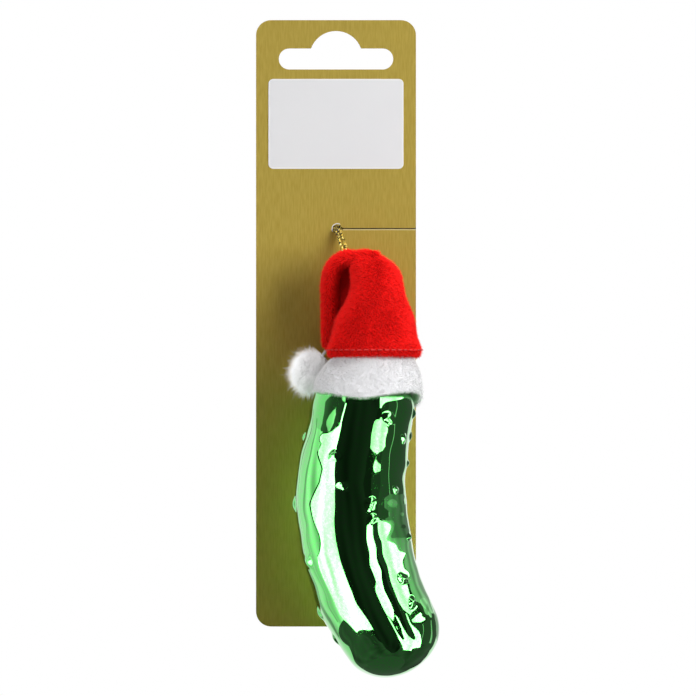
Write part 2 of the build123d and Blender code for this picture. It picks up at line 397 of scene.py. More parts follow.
class Recipe:
    """Node tree of a material or of the surroundings, with short calls for the nodes they share."""

    def __init__(self, owner: bpy.types.Material | bpy.types.World) -> None:
        """Starts from the shader that a new material or world has.

        Args:
            owner: the material or world.
        """
        owner.use_nodes = True
        self.owner = owner
        self.tree = owner.node_tree
        self.shader = next(n for n in self.tree.nodes if n.type in ("BSDF_PRINCIPLED", "BACKGROUND"))
        self.coordinates = self.tree.nodes.new("ShaderNodeTexCoord").outputs

    def feed(self, socket: Socket, value: object) -> None:
        """Sets an input to a value, or links it from an output.

        Args:
            socket: the input.
            value: the value or the output.
        """
        if isinstance(value, Socket):
            self.tree.links.new(value, socket)
        else:
            socket.default_value = value

    def node(self, kind: str, **inputs: object) -> bpy.types.Node:
        """A new node.

        Args:
            kind: its kind.
            inputs: its inputs by name, each a value or the socket it is linked from.

        Returns:
            The node.
        """
        node = self.tree.nodes.new(kind)
        for name, value in inputs.items():
            self.feed(node.inputs[name.replace("_", " ")], value)
        return node

    def set(self, **inputs: object) -> None:
        """Sets or links the shader's own inputs by name."""
        for name, value in inputs.items():
            self.feed(self.shader.inputs[name.replace("_", " ")], value)

    def axes(self, kind: str) -> list[Socket]:
        """X, Y and Z of a kind of coordinates, Object or Normal."""
        return list(self.node("ShaderNodeSeparateXYZ", Vector=self.coordinates[kind]).outputs)

    def noise(self, scale: float | Point, detail: float = 2.0) -> Socket:
        """Noise over Object coordinates.

        Args:
            scale: one scale, or one for each axis.
            detail: how many finer layers are added.

        Returns:
            The noise, from 0 to 1.
        """
        where = self.coordinates["Object"]
        if isinstance(scale, tuple):
            where = self.node("ShaderNodeMapping", Vector=where, Scale=scale).outputs["Vector"]
            scale = 1.0
        return self.node("ShaderNodeTexNoise", Vector=where, Scale=scale, Detail=detail).outputs[0]

    def mark(self, name: str) -> Socket:
        """A number that the mesh holds at its points.

        Args:
            name: the number's name.

        Returns:
            The number.
        """
        node = self.tree.nodes.new("ShaderNodeAttribute")
        node.attribute_name = name
        return node.outputs["Fac"]

    def ramp(self, share: Socket, *stops: tuple[float, Colour]) -> Socket:
        """Colours along a share from 0 to 1.

        Args:
            share: the share.
            stops: places on it, each with its colour.

        Returns:
            The colour.
        """
        node = self.node("ShaderNodeValToRGB", Fac=share)
        elements = node.color_ramp.elements
        while len(elements) < len(stops):
            elements.new(0.5)
        for element, (place, colour) in zip(elements, stops):
            element.position, element.color = place, colour
        return node.outputs["Color"]

    def spread(self, share: Socket, low: float, high: float) -> Socket:
        """A share from 0 to 1 as a number from low to high."""
        return self.node("ShaderNodeMapRange", Value=share, To_Min=low, To_Max=high).outputs[0]

    def sums(self, kind: str, a: object, b: object = 0.0) -> Socket:
        """One sum on two numbers.

        Args:
            kind: the kind of sum.
            a: the first number or socket.
            b: the second.

        Returns:
            What it comes to.
        """
        node = self.tree.nodes.new("ShaderNodeMath")
        node.operation = kind
        self.feed(node.inputs[0], a)
        self.feed(node.inputs[1], b)
        return node.outputs[0]

    def between(self, value: Socket, low: float, high: float) -> Socket:
        """One where a number lies between two others, else zero."""
        over, under = self.sums("GREATER_THAN", value, low), self.sums("LESS_THAN", value, high)
        return self.sums("MULTIPLY", over, under)

    def blended(self, share: object, a: object, b: object) -> Socket:
        """A colour between two. The sockets are those that a Mix node has for colours.

        Args:
            share: how much of the second there is.
            a: the first colour or socket.
            b: the second.

        Returns:
            The colour.
        """
        node = self.tree.nodes.new("ShaderNodeMix")
        node.data_type = "RGBA"
        for place, value in ((0, share), (6, a), (7, b)):
            self.feed(node.inputs[place], value)
        return node.outputs[2]

    def bump(self, height: Socket, depth: float, strength: float = 1.0) -> None:
        """Gives the shader a relief of that depth in millimetres."""
        node = self.node("ShaderNodeBump", Height=height, Distance=depth * MM, Strength=strength)
        self.set(Normal=node.outputs["Normal"])


@dataclass(frozen=True)
class Finish:
    """A surface finish and the record's slot that it belongs to."""

    slot: Slot

    def paint(self, r: Recipe) -> None:
        """Mixes the finish's material. Each finish has its own way."""
        raise NotImplementedError

    def dress(self, piece: Piece) -> None:
        """Puts the finish on a piece, and names its slot. It is mixed once for each slot and kind.

        Args:
            piece: the piece, or a node of the frame.
        """
        name = f"{self.slot.value}_{type(self).__name__.lower()}"
        material = bpy.data.materials.get(name)
        if material is None:
            material = bpy.data.materials.new(name)
            self.paint(Recipe(material))
        piece.data.materials.clear()
        piece.data.materials.append(material)


@dataclass(frozen=True)
class GoldBoard(Finish):
    """Card faced with satin gold foil in front and plain board behind; its cut edges are painted near black
    as shade, so the slit reads as a dark line.
    """

    slot: Slot = Slot.GOLD_CARD
    gold: Colour = (0.62, 0.45, 0.075, 1)
    pale_gold: Colour = (0.69, 0.52, 0.10, 1)
    board: Colour = (0.55, 0.53, 0.48, 1)
    pale_board: Colour = (0.66, 0.64, 0.6, 1)
    # Near black on every cut edge: painted shade, which darkens the slit's wall into a line.
    edge: Colour = (0.10, 0.07, 0.025, 1)
    face_limit: float = 0.85
    torn: Colour = (0.88, 0.87, 0.82, 1)
    torn_reach: float = 1.68
    torn_slant: float = 0.6
    # A paler gold along the slit's lower lip: a painted highlight.
    lip: Colour = (0.92, 0.80, 0.36, 1)
    lip_start: float = 1.9
    lip_span: tuple[float, float] = (-56.95, -56.6)

    def torn_rim(self, r: Recipe) -> Socket:
        """One where the cord has torn the foil off the hole's upper left rim, else zero.

        Args:
            r: the recipe.

        Returns:
            The share, from the distance to the worn hole's middle.
        """
        x, _, z = r.axes("Object")
        right = r.sums("SUBTRACT", x, WORN_HOLE[0] * MM)
        up = r.sums("SUBTRACT", z, WORN_HOLE[1] * MM)
        away = r.sums("SQRT", r.sums("ADD", r.sums("POWER", right, 2.0), r.sums("POWER", up, 2.0)))
        near = r.sums("LESS_THAN", away, self.torn_reach * MM)
        upper_left = r.sums("GREATER_THAN", r.sums("SUBTRACT", up, right), self.torn_slant * MM)
        return r.sums("MULTIPLY", near, upper_left)

    def slit_lip(self, r: Recipe) -> Socket:
        """One along the slit's lower lip, where a paler gold is painted on as a highlight, else zero.

        Args:
            r: the recipe.

        Returns:
            The share.
        """
        x, _, z = r.axes("Object")
        level = r.between(z, *(height * MM for height in self.lip_span))
        return r.sums("MULTIPLY", level, r.sums("GREATER_THAN", x, self.lip_start * MM))

    def paint(self, r: Recipe) -> None:
        """Fine upright brush flecks in the foil; grey fibres in the board.

        Args:
            r: the recipe.
        """
        flecks = r.noise((2600, 2600, 260), 3.0)
        foil = r.ramp(flecks, (0.36, self.gold), (0.62, self.pale_gold))
        # Painted highlight: paler gold along the slit's lower lip.
        foil = r.blended(self.slit_lip(r), foil, self.lip)
        grey = r.ramp(r.noise(900.0, 4.0), (0.3, self.board), (0.7, self.pale_board))
        facing = r.axes("Normal")[1]
        front = r.sums("LESS_THAN", facing, -self.face_limit)
        back = r.sums("GREATER_THAN", facing, self.face_limit)
        # The cut edges take the near-black edge colour, painted shade.
        face = r.blended(front, r.blended(back, self.edge, grey), foil)
        torn = self.torn_rim(r)
        r.set(Base_Color=r.blended(torn, face, self.torn))
        r.set(Metallic=r.sums("MULTIPLY", r.sums("GREATER_THAN", front, torn), 0.5))
        clouds = r.spread(r.noise(28.0), -0.03, 0.03)
        shine = r.sums("ADD", r.spread(flecks, 0.42, 0.56), clouds)
        r.set(Roughness=r.sums("MAXIMUM", shine, r.spread(front, 0.7, 0.0)))
        r.bump(flecks, 0.012, 0.35)


@dataclass(frozen=True)
class LabelPaper(Finish):
    """Pale coated paper, a little whiter along its cut rim."""

    slot: Slot = Slot.LABEL_PAPER
    half_width: float = 19.3
    half_height: float = 12.85
    middle_height: float = -26.55
    rim: float = 0.45
    paper: Colour = (0.86, 0.86, 0.88, 1)
    cloud: Colour = (0.89, 0.89, 0.90, 1)
    white: Colour = (0.95, 0.95, 0.95, 1)

    def paint(self, r: Recipe) -> None:
        """Faint clouds and fibres, and a rim that is measured from the label's edges.

        Args:
            r: the recipe.
        """
        x, _, z = r.axes("Object")
        across = r.sums("ABSOLUTE", x)
        up = r.sums("ABSOLUTE", r.sums("SUBTRACT", z, self.middle_height * MM))
        side = r.sums("GREATER_THAN", across, (self.half_width - self.rim) * MM)
        ends = r.sums("GREATER_THAN", up, (self.half_height - self.rim) * MM)
        fibres = r.noise(1400.0, 4.0)
        body = r.blended(r.noise(60.0, 3.0), self.paper, self.cloud)
        r.set(Base_Color=r.blended(r.sums("MAXIMUM", side, ends), body, self.white))
        r.set(Roughness=r.spread(fibres, 0.38, 0.55))
        r.bump(fibres, 0.006, 0.4)


@dataclass(frozen=True)
class GreenGlass(Finish):
    """Glass silvered inside and lacquered green: a tinted mirror under a clear coat."""

    slot: Slot = Slot.GREEN_GLASS
    green: Colour = (0.058, 0.60, 0.072, 1)
    yellow_green: Colour = (0.080, 0.69, 0.090, 1)
    clean: Colour = (0.02, 0.02, 0.02, 1)
    dusty: Colour = (0.10, 0.10, 0.10, 1)

    def paint(self, r: Recipe) -> None:
        """The lacquer runs thicker in long clouds; fine ripples and dust soften the shine.

        Args:
            r: the recipe.
        """
        clouds = r.noise((110, 110, 30), 3.0)
        r.set(Base_Color=r.blended(clouds, self.green, self.yellow_green))
        r.set(Metallic=1.0, Coat_Weight=1.0, Coat_Roughness=0.01, Coat_IOR=1.75)
        r.set(Roughness=r.ramp(r.noise(1500.0, 5.0), (0.45, self.clean), (0.8, self.dusty)))
        r.bump(r.noise(260.0), 0.006, 0.5)


@dataclass(frozen=True)
class GoldLame(Finish):
    """Metal foil thread: bright facets, with near-black ones as painted shade for the gaps between them."""

    slot: Slot = Slot.GOLD_CORD
    # Near-black facets: painted shade in the gaps between the foil.
    dark: Colour = (0.010, 0.007, 0.002, 1)
    gold: Colour = (0.42, 0.29, 0.025, 1)
    bright: Colour = (0.95, 0.78, 0.24, 1)
    facet_scale: float = 2600.0

    def paint(self, r: Recipe) -> None:
        """Small facets of foil, each with its own tone and shine.

        Args:
            r: the recipe.
        """
        where = r.coordinates["Object"]
        facets = r.node("ShaderNodeTexVoronoi", Vector=where, Scale=self.facet_scale).outputs
        tone = r.node("ShaderNodeSeparateXYZ", Vector=facets["Color"]).outputs["X"]
        stops = ((0.25, self.dark), (0.52, self.gold), (1.0, self.bright))
        r.set(Base_Color=r.ramp(tone, *stops), Metallic=0.55)
        r.set(Roughness=r.spread(tone, 0.18, 0.4))
        r.bump(facets["Distance"], 0.08, 0.7)


@dataclass(frozen=True)
class StampedMetal(Finish):
    """Thin stamped metal with drawing lines and a few dull patches."""

    metal: Colour
    dull: Colour

    def paint(self, r: Recipe) -> None:
        """Lines round the cup or along the wire, and clouded roughness.

        Args:
            r: the recipe.
        """
        lines = r.noise((300, 300, 4000), 3.0)
        r.set(Base_Color=r.blended(r.noise(300.0, 4.0), self.metal, self.dull), Metallic=1.0)
        r.set(Roughness=r.spread(lines, 0.2, 0.4))
        r.bump(lines, 0.01, 0.4)


@dataclass(frozen=True)
class Ground(Finish):
    """Textile ground or thread: two tones by noise, and relief by the same noise; the darker tone in the
    hollows is painted shade.

    Attributes:
        low: tone of its hollows, darker as painted shade.
        high: tone of its crests.
        noise: scale and detail of the noise.
        rough: roughness of hollows and crests.
        relief: depth in millimetres and strength of the relief.
        shine: specular level.
        sheen: weight of its sheen.
        sheen_rough: roughness of its sheen.
    """

    low: Colour
    high: Colour
    noise: tuple[float, float]
    rough: tuple[float, float]
    relief: tuple[float, float]
    shine: float = 0.5
    sheen: float = 0.0
    sheen_rough: float = 0.5

    def paint(self, r: Recipe) -> None:
        """Tone, roughness and relief, all from one noise, so the hollows are painted darker as shade.

        Args:
            r: the recipe.
        """
        uneven = r.noise(*self.noise)
        r.set(Base_Color=r.blended(uneven, self.low, self.high), Specular_IOR_Level=self.shine)
        r.set(Roughness=r.spread(uneven, *self.rough))
        r.set(Sheen_Weight=self.sheen, Sheen_Roughness=self.sheen_rough)
        r.bump(uneven, *self.relief)


@dataclass(frozen=True)
class Fur(Finish):
    """Fibres of a pile: tone climbs from darker roots, painted shade deep in the pile, to lighter tips, and
    varies from fibre to fibre.

    Attributes:
        stops: shares of a fibre from its root up, each with its tone.
        climb: least and greatest pace of the climb.
        rough: least and greatest roughness.
        shine: specular level.
        sheen: weight of its sheen.
    """

    stops: tuple[tuple[float, Colour], ...]
    climb: tuple[float, float]
    rough: tuple[float, float]
    shine: float = 0.5
    sheen: float = 0.0

    def paint(self, r: Recipe) -> None:
        """Both the climb and the roughness follow the tone that each fibre has of its own.

        Args:
            r: the recipe.
        """
        tone = r.mark("tone")
        reach = r.sums("MULTIPLY", r.mark("reach"), r.spread(tone, *self.climb))
        r.set(Base_Color=r.ramp(reach, *self.stops), Specular_IOR_Level=self.shine)
        r.set(Roughness=r.spread(tone, *self.rough), Sheen_Weight=self.sheen)


CAP_METAL = StampedMetal(Slot.CAP_METAL, (0.80, 0.64, 0.30, 1), (0.62, 0.46, 0.18, 1))
WIRE_STEEL = StampedMetal(Slot.WIRE_STEEL, (0.62, 0.62, 0.64, 1), (0.42, 0.42, 0.44, 1))
PLUSH_KNIT = Ground(
    Slot.RED_PLUSH, (0.36, 0.002, 0.002, 1), (0.60, 0.004, 0.003, 1),
    noise=(1600.0, 3.0), rough=(0.75, 0.95), relief=(0.15, 0.8), shine=0.1,
)
FLEECE_LUMPS = Ground(
    Slot.WHITE_FLEECE, (0.65, 0.65, 0.67, 1), (0.73, 0.73, 0.74, 1),
    noise=(420.0, 4.0), rough=(0.8, 1.0), relief=(0.06, 0.4), sheen=0.5, sheen_rough=0.6,
)
HEM_THREAD = Ground(
    Slot.RED_THREAD, (0.40, 0.01, 0.01, 1), (0.72, 0.06, 0.055, 1),
    noise=(3200.0, 3.0), rough=(0.5, 0.75), relief=(0.06, 0.8), shine=0.2,
)
# Grey rather than white: painted shade, so the thread passes for the pom-pom's shaded fluff.
POMPOM_THREAD = Ground(
    Slot.WHITE_THREAD, (0.38, 0.36, 0.34, 1), (0.55, 0.53, 0.50, 1),
    noise=(3200.0, 3.0), rough=(0.5, 0.75), relief=(0.06, 0.8), shine=0.2,
)
# Both furs darken towards their roots: painted shade deep in the pile.
RED_FUR = Fur(
    Slot.RED_PLUSH,
    ((0.0, (0.82, 0.004, 0.003, 1)), (0.5, (0.96, 0.008, 0.006, 1)), (1.0, (1.0, 0.03, 0.022, 1))),
    climb=(0.65, 1.1), rough=(0.5, 0.75), shine=0.12,
)
WHITE_FUR = Fur(
    Slot.WHITE_FLEECE, ((0.0, (0.845, 0.845, 0.855, 1)), (0.75, (0.92, 0.92, 0.92, 1))),
    climb=(0.6, 1.3), rough=(0.6, 0.9), sheen=0.3,
)


@dataclass(frozen=True)
class Pile:
    """Fibres that stand on a surface, each a slim closed spike of three sides.

    Attributes:
        length: usual length of a fibre.
        width: half its width at the root.
        lean: how far fibres lean along the lay, as a share of their length.
        ruffle: how far each fibre strays from the others, as a share of its length.
        droop: how far tips sink under their own weight, as a share of their length.
        rings: rings of three points in a spike, before its tip.
        seed: seed of the draws.
        lengths: shortest and longest fibre, as shares of the usual length.
        taper: power by which a spike narrows towards its tip.
        gutter: bare share of a fibre's cell on the bake map, at each side.
    """

    length: float
    width: float
    lean: float
    ruffle: float
    droop: float
    rings: int
    seed: int
    lengths: tuple[float, float] = (0.65, 1.2)
    taper: float = 0.6
    gutter: float = 0.08

    def grow(
        self, roots: Array, normals: Array, lay: Array, squeeze: Callable[[Array], Array] | None = None
    ) -> Skin:
        """Spikes from roots: each bends on a parabola from its own way out to its sunk tip.

        Args:
            roots: where fibres stand.
            normals: the way out of the surface there.
            lay: the way that the pile is brushed there.
            squeeze: moves points out of what the pile rests against.

        Returns:
            All spikes as one skin, marked with tone by fibre and reach from root to tip.
        """
        draw = np.random.default_rng(self.seed)
        count = len(roots)
        stray = draw.normal(0, self.ruffle, (count, 3))
        out = unit(normals + self.lean * lay + stray)
        size = self.length * draw.uniform(*self.lengths, (count, 1))
        sunk = self.droop * lay + 0.5 * draw.normal(0, self.ruffle, (count, 3))
        side = unit(np.cross(out, draw.normal(0, 1, (count, 3))))
        other = np.cross(out, side)
        levels = np.arange(self.rings + 1) / self.rings
        bent = levels[:, None] * out[:, None] + levels[:, None] ** 2 * sunk[:, None]
        spine = roots[:, None] + size[:, None] * bent
        angle = round_turn(3)[:, None]
        ring = side[:, None] * np.cos(angle) + other[:, None] * np.sin(angle)
        width = self.width * (1 - levels[:-1]) ** self.taper
        body = spine[:, :-1, None] + width[:, None, None] * ring[:, None]
        points = np.concatenate([body.reshape(count, -1, 3), spine[:, -1:]], axis=1)
        if squeeze:
            points = squeeze(points)
        each = points.shape[1]
        first = each * np.arange(count)[:, None, None]
        index = np.pad(np.arange(3 * self.rings).reshape(-1, 3), ((0, 0), (0, 1)), mode="wrap")
        ends = np.stack([index[-1, :3], index[-1, 1:], np.full(3, each - 1)], axis=-1)
        quads = (first + grid_faces(index)).reshape(-1, 4)
        triangles = (first + np.concatenate([ends, [[2, 1, 0]]])).reshape(-1, 3)
        tone = np.repeat(draw.uniform(0, 1, count), each)
        reach = np.tile(np.append(np.repeat(levels[:-1], 3), 1.0), count)
        marks = {"tone": tone, "reach": reach}
        return Skin(points.reshape(-1, 3), quads, triangles, *self.cells(count), marks)

    def cells(self, count: int) -> tuple[Array, Array]:
        """Places on the bake map: one square cell for each fibre, shared by its sides.

        Args:
            count: how many fibres there are.

        Returns:
            The corner places of the quads and of the triangles.
        """
        across = math.ceil(math.sqrt(count))
        cell = np.stack([np.arange(count) % across, np.arange(count) // across], axis=-1)
        step = 1 / self.rings
        wall = np.array([[0, 0], [1, 0], [1, step], [0, step]])
        levels = np.repeat(np.arange(self.rings - 1), 3) / self.rings
        walls = wall + np.stack([0 * levels, levels], axis=-1)[:, None]
        end = [[0, 1 - step], [1, 1 - step], [0.5, 1]]
        tips = np.array([end, end, end, [[0, 0], [1, 0], [0.5, step]]])
        room = 1 - 2 * self.gutter
        quads, triangles = (
            (cell[:, None, None] + self.gutter + room * shape[None]) / across for shape in (walls, tips)
        )
        return quads.reshape(-1, 4, 2), triangles.reshape(-1, 3, 2)


def scatter(mesh: Mesh, count: int, seed: int) -> tuple[Array, Array]:
    """Places spread evenly over a mesh, with the way out at each.

    Args:
        mesh: the mesh.
        count: how many places are wanted.
        seed: seed of the draws.

    Returns:
        The places in millimetres, and the way out at each.
    """
    mesh.calc_loop_triangles()
    points = read_rows(mesh.vertices, "co") / MM
    normals = read_rows(mesh.vertices, "normal").astype(float)
    triangles = read_rows(mesh.loop_triangles, "vertices", np.int32)
    draw = np.random.default_rng(seed)
    a, b, c = (points[triangles[:, i]] for i in range(3))
    area = np.linalg.norm(np.cross(b - a, c - a), axis=1)
    chosen = draw.choice(len(area), count, p=area / area.sum())
    u, v = draw.random((2, count, 1))
    over = u + v > 1
    u, v = np.where(over, 1 - u, u), np.where(over, 1 - v, v)
    shares = np.stack([1 - u - v, u, v])
    corners = triangles[chosen].T
    places = sum(s * points[i] for s, i in zip(shares, corners))
    outs = sum(s * normals[i] for s, i in zip(shares, corners))
    return places, unit(outs)


def brushed(outs: Array, way: Array) -> Array:
    """The way that a pile lies where it is brushed one way over a surface."""
    return unit(way - outs * (outs @ way)[:, None])


def before_card(points: Array, plane: float) -> Array:
    """Points pressed forwards to a plane in front of the card, where they lie behind it.

    Args:
        points: the points.
        plane: the plane's Y.

    Returns:
        The pressed points.
    """
    pressed = points.copy()
    pressed[..., 1] = np.minimum(pressed[..., 1], plane)
    return pressed


def fused(name: str, skin: Skin, voxel: float, passes: int) -> Mesh:
    """One closed mesh round overlapping skins, its joins eased by smoothing.

    Args:
        name: the mesh's name.
        skin: the overlapping skins, joined.
        voxel: size of the remesh's cells.
        passes: passes of smoothing.

    Returns:
        The finished mesh.
    """
    rough = add_object("rough", skin.mesh("rough"))
    remesh = rough.modifiers.new("fuse", "REMESH")
    remesh.mode = "VOXEL"
    remesh.voxel_size = voxel * MM
    ease = rough.modifiers.new("ease", "SMOOTH")
    ease.factor = 0.5
    ease.iterations = passes
    evaluated = rough.evaluated_get(bpy.context.evaluated_depsgraph_get())
    mesh = bpy.data.meshes.new_from_object(evaluated)
    mesh.name = name
    mesh.shade_smooth()
    bpy.data.objects.remove(rough)
    return mesh


@dataclass(frozen=True)
class Dome:
    """Two tangent arcs: a round edge, then a flatter crown.

    Attributes:
        reach: radius at its foot.
        rise: height of its crown above its foot.
        edge: radius of the round edge.
        steps: points on each arc.
    """

    reach: float
    rise: float
    edge: float
    steps: int = 60

    def arcs(self, inset: float, stop: float) -> Array:
        """Both arcs, set in, from the foot up to where the radius has shrunk to stop.

        Args:
            inset: how far inside the dome they run.
            stop: the last radius.

        Returns:
            Rows of height and radius.
        """
        reach, rise, edge = self.reach - inset, self.rise - inset, self.edge - inset
        flat = ((reach - edge) ** 2 + rise**2 - edge**2) / (2 * (rise - edge))
        lean = math.atan2(flat - rise, reach - edge)
        low = np.linspace(0, lean, self.steps)
        high = np.linspace(lean, math.acos(stop / flat), self.steps)[1:]
        lower = np.stack([edge * np.sin(low), reach - edge + edge * np.cos(low)], axis=1)
        upper = np.stack([rise - flat + flat * np.sin(high), flat * np.cos(high)], axis=1)
        return np.concatenate([lower, upper])


@dataclass
class GlassPickle:
    """Blown-glass pickle: a bent body with a domed end, a shoulder, a neck and warts.

    A front wart is given by its distance along the centreline and its angle round it in degrees,
    from the left over the front. Those behind go round in even steps.
    """

    bend_radius: float = 73.1
    waist: Point = (4.3, -16.9, -132.3)
    upper_turn: float = 10.0
    lower_turn: float = 32.5
    upper_radius: float = 15.0
    belly_radius: float = 15.7
    end_radius: float = 14.1
    end_dome: Dome = Dome(14.1, 12.2, 11.2)
    shoulder: Dome = Dome(14.4, 11.0, 8.9)
    shoulder_height: float = 13.5
    neck_radius: float = 4.6
    neck_length: float = 4.0
    wall: float = 1.0
    easing: int = 7
    wart_reach: float = 1.95
    wart_height: float = 0.66
    wart_skirt: float = 4.2
    wart_swell: float = 0.14
    wart_sizes: tuple[float, float] = (0.8, 1.15)
    wart_rag: tuple[float, float] = (0.16, 0.1)
    wart_rag_turn: float = 2.3
    wart_seed: int = 5
    ripple: Waves = Waves(0.12, 11)
    pucker: Waves = Waves(0.06, 12, lobes=(4, 12), lengths=(6, 14))
    streak: Waves = Waves(0.06, 13, lobes=(8, 22), lengths=(40, 160))
    calm: float = 0.82
    calm_middle: float = 94.0
    calm_reach: float = 78.0
    fade_radius: float = 9.0
    front_warts: tuple[tuple[float, float], ...] = (
        (13.0, 176), (10.8, 122), (5.9, 151), (6.5, 182), (1.3, 4), (-1.3, 178), (-2.3, 69),
        (-10.2, 82), (-10.7, 144), (-15.1, 4), (-15.2, 110), (-19.9, 111), (-28.0, 163),
        (-28.7, 26), (-40.9, 131), (-41.1, 4), (-48.2, 8), (-49.0, 131),
    )
    back_wart_count: int = 16
    back_wart_top: float = 10.0
    back_wart_pitch: float = 3.9
    back_wart_first: float = 200.0
    back_wart_step: float = 61.8
    back_wart_sweep: float = 140.0
    rows: int = 300
    inner_rows: int = 24
    body_rows: int = 120
    columns: int = 256

    @property
    def bend_length(self) -> float:
        """Length of the bent centreline."""
        return math.radians(self.upper_turn + self.lower_turn) * self.bend_radius

    def outline(self, inset: float) -> Array:
        """Half outline from the end's pole to the mouth; the body's radius is a parabola.

        Args:
            inset: how far inside the glass's outside it runs.

        Returns:
            Rows of distance up the centreline and radius.
        """
        end = (self.end_dome.arcs(inset, 0) * [-1, 1] - [self.bend_length, 0])[::-1]
        share = np.linspace(1, 0, self.body_rows)[1:]
        radius = (
            self.upper_radius * (1 - share) * (1 - 2 * share)
            + self.belly_radius * 4 * share * (1 - share)
            + self.end_radius * share * (2 * share - 1)
        )
        body = np.stack([-share * self.bend_length, radius - inset], axis=1)
        neck = self.neck_radius - inset
        shoulder = self.shoulder.arcs(inset, neck) + [self.shoulder_height, 0]
        outside = self.shoulder.arcs(0, self.neck_radius)
        mouth = self.shoulder_height + outside[-1, 0] + self.neck_length
        return np.concatenate([end, body, shoulder, [[mouth, neck]]])

    def eased(self, line: Array) -> Array:
        """The outline with its kinks rounded: a running mean that mirrors at the pole.

        Args:
            line: the outline.

        Returns:
            The outline again, with as many rows.
        """
        mirrored = line[1 : self.easing + 1][::-1] * [1, -1]
        past = line[-1] + (line[-1] - line[-2]) * np.arange(1, self.easing + 1)[:, None]
        padded = np.concatenate([mirrored, line, past])
        weight = np.hanning(2 * self.easing + 3)[1:-1]
        weight /= weight.sum()
        return np.stack([np.convolve(column, weight, "valid") for column in padded.T], axis=1)

    def warts(self) -> Array:
        """All warts, front and back.

        Returns:
            Rows of distance along, angle round in radians, and size.
        """
        i = np.arange(self.back_wart_count)
        around = self.back_wart_first + (self.back_wart_step * i) % self.back_wart_sweep
        back = np.stack([self.back_wart_top - self.back_wart_pitch * i, around], axis=1)
        both = np.concatenate([np.array(self.front_warts, float), back])
        size = np.random.default_rng(self.wart_seed).uniform(*self.wart_sizes, (len(both), 1))
        return np.concatenate([both[:, :1], np.radians(both[:, 1:]), size], axis=1)

    def relief(self, along: Array, radius: Array, around: Array) -> Array:
        """Height over the smooth skin: ripples, and warts that swell out of soft skirts.

        Args:
            along: distance along the centreline, by ring.
            radius: the smooth skin's radius, by ring.
            around: angle round the skin, by column.

        Returns:
            The height by ring and column.
        """
        fade = np.clip(radius / self.fade_radius, 0, 1)[:, None] ** 2
        grid = around[None], along[:, None]
        uneven = self.ripple.at(*grid) + self.pucker.at(*grid) + self.streak.at(*grid)
        from_calm = (np.degrees(around[None]) - self.calm_middle) / self.calm_reach
        height = fade * (1 - self.calm * np.exp(-(from_calm**2))) * uneven
        for i, (place, angle, size) in enumerate(self.warts()):
            turn = (around - angle + math.pi) % TURN - math.pi
            up, aside = (along - place)[:, None], radius[:, None] * turn[None]
            bearing = np.arctan2(up, aside)
            wide, narrow = self.wart_rag
            ragged = 1 + wide * np.cos(2 * bearing + i)
            ragged += narrow * np.cos(3 * bearing + self.wart_rag_turn * i)
            away = np.hypot(up, aside) / ragged
            bump = np.clip(1 - (away / (self.wart_reach * size)) ** 2, 0, None) ** 2
            height += size * self.wart_height * bump
            height += self.wart_swell * np.exp(-((away / self.wart_skirt) ** 2))
        return height

    def rings(self, outline: Array, relief: bool) -> Array:
        """Carries the half outline round the bent centreline.

        Args:
            outline: rows of distance along and radius.
            relief: whether ripples and warts are added.

        Returns:
            Points by ring and column, in the part's frame.
        """
        along, radius = outline.T
        around = round_turn(self.columns)
        slope = unit(np.gradient(outline, axis=0))
        height = self.relief(along, radius, around) if relief else np.zeros((len(along), self.columns))
        bent = np.clip(along, -self.bend_length, 0)
        turn = math.radians(self.upper_turn) + bent / self.bend_radius
        sine, cosine, zero = np.sin(turn), np.cos(turn), np.zeros_like(turn)
        up = np.stack([sine, zero, cosine], axis=1)
        left = np.stack([-cosine, zero, sine], axis=1)
        middle = np.array(self.waist) + self.bend_radius * np.stack([1 - cosine, zero, sine], axis=1)
        middle = middle + (along - bent)[:, None] * up
        back = np.array([0, 1, 0])
        out = left[:, None] * np.cos(around)[:, None] - back * np.sin(around)[:, None]
        reach = radius[:, None] + slope[:, :1] * height
        lift = -slope[:, 1:] * height
        return middle[:, None] + reach[..., None] * out + lift[..., None] * up[:, None]

    def build(self) -> Piece:
        """The glass as one closed skin: outside with its relief, over the rim, and inside.

        Returns:
            The glass.
        """
        outer = self.eased(evenly(self.outline(0), self.rows))
        outer[0, 1] = 0.0
        inner = evenly(self.outline(self.wall), self.inner_rows)[::-1]
        rings = np.concatenate([self.rings(outer, True), self.rings(inner, False)])
        skin = Skin.over_rings(rings)
        return place_piece("glass_skin", skin, GreenGlass(), Body.ORNAMENT, "glass_pickle")


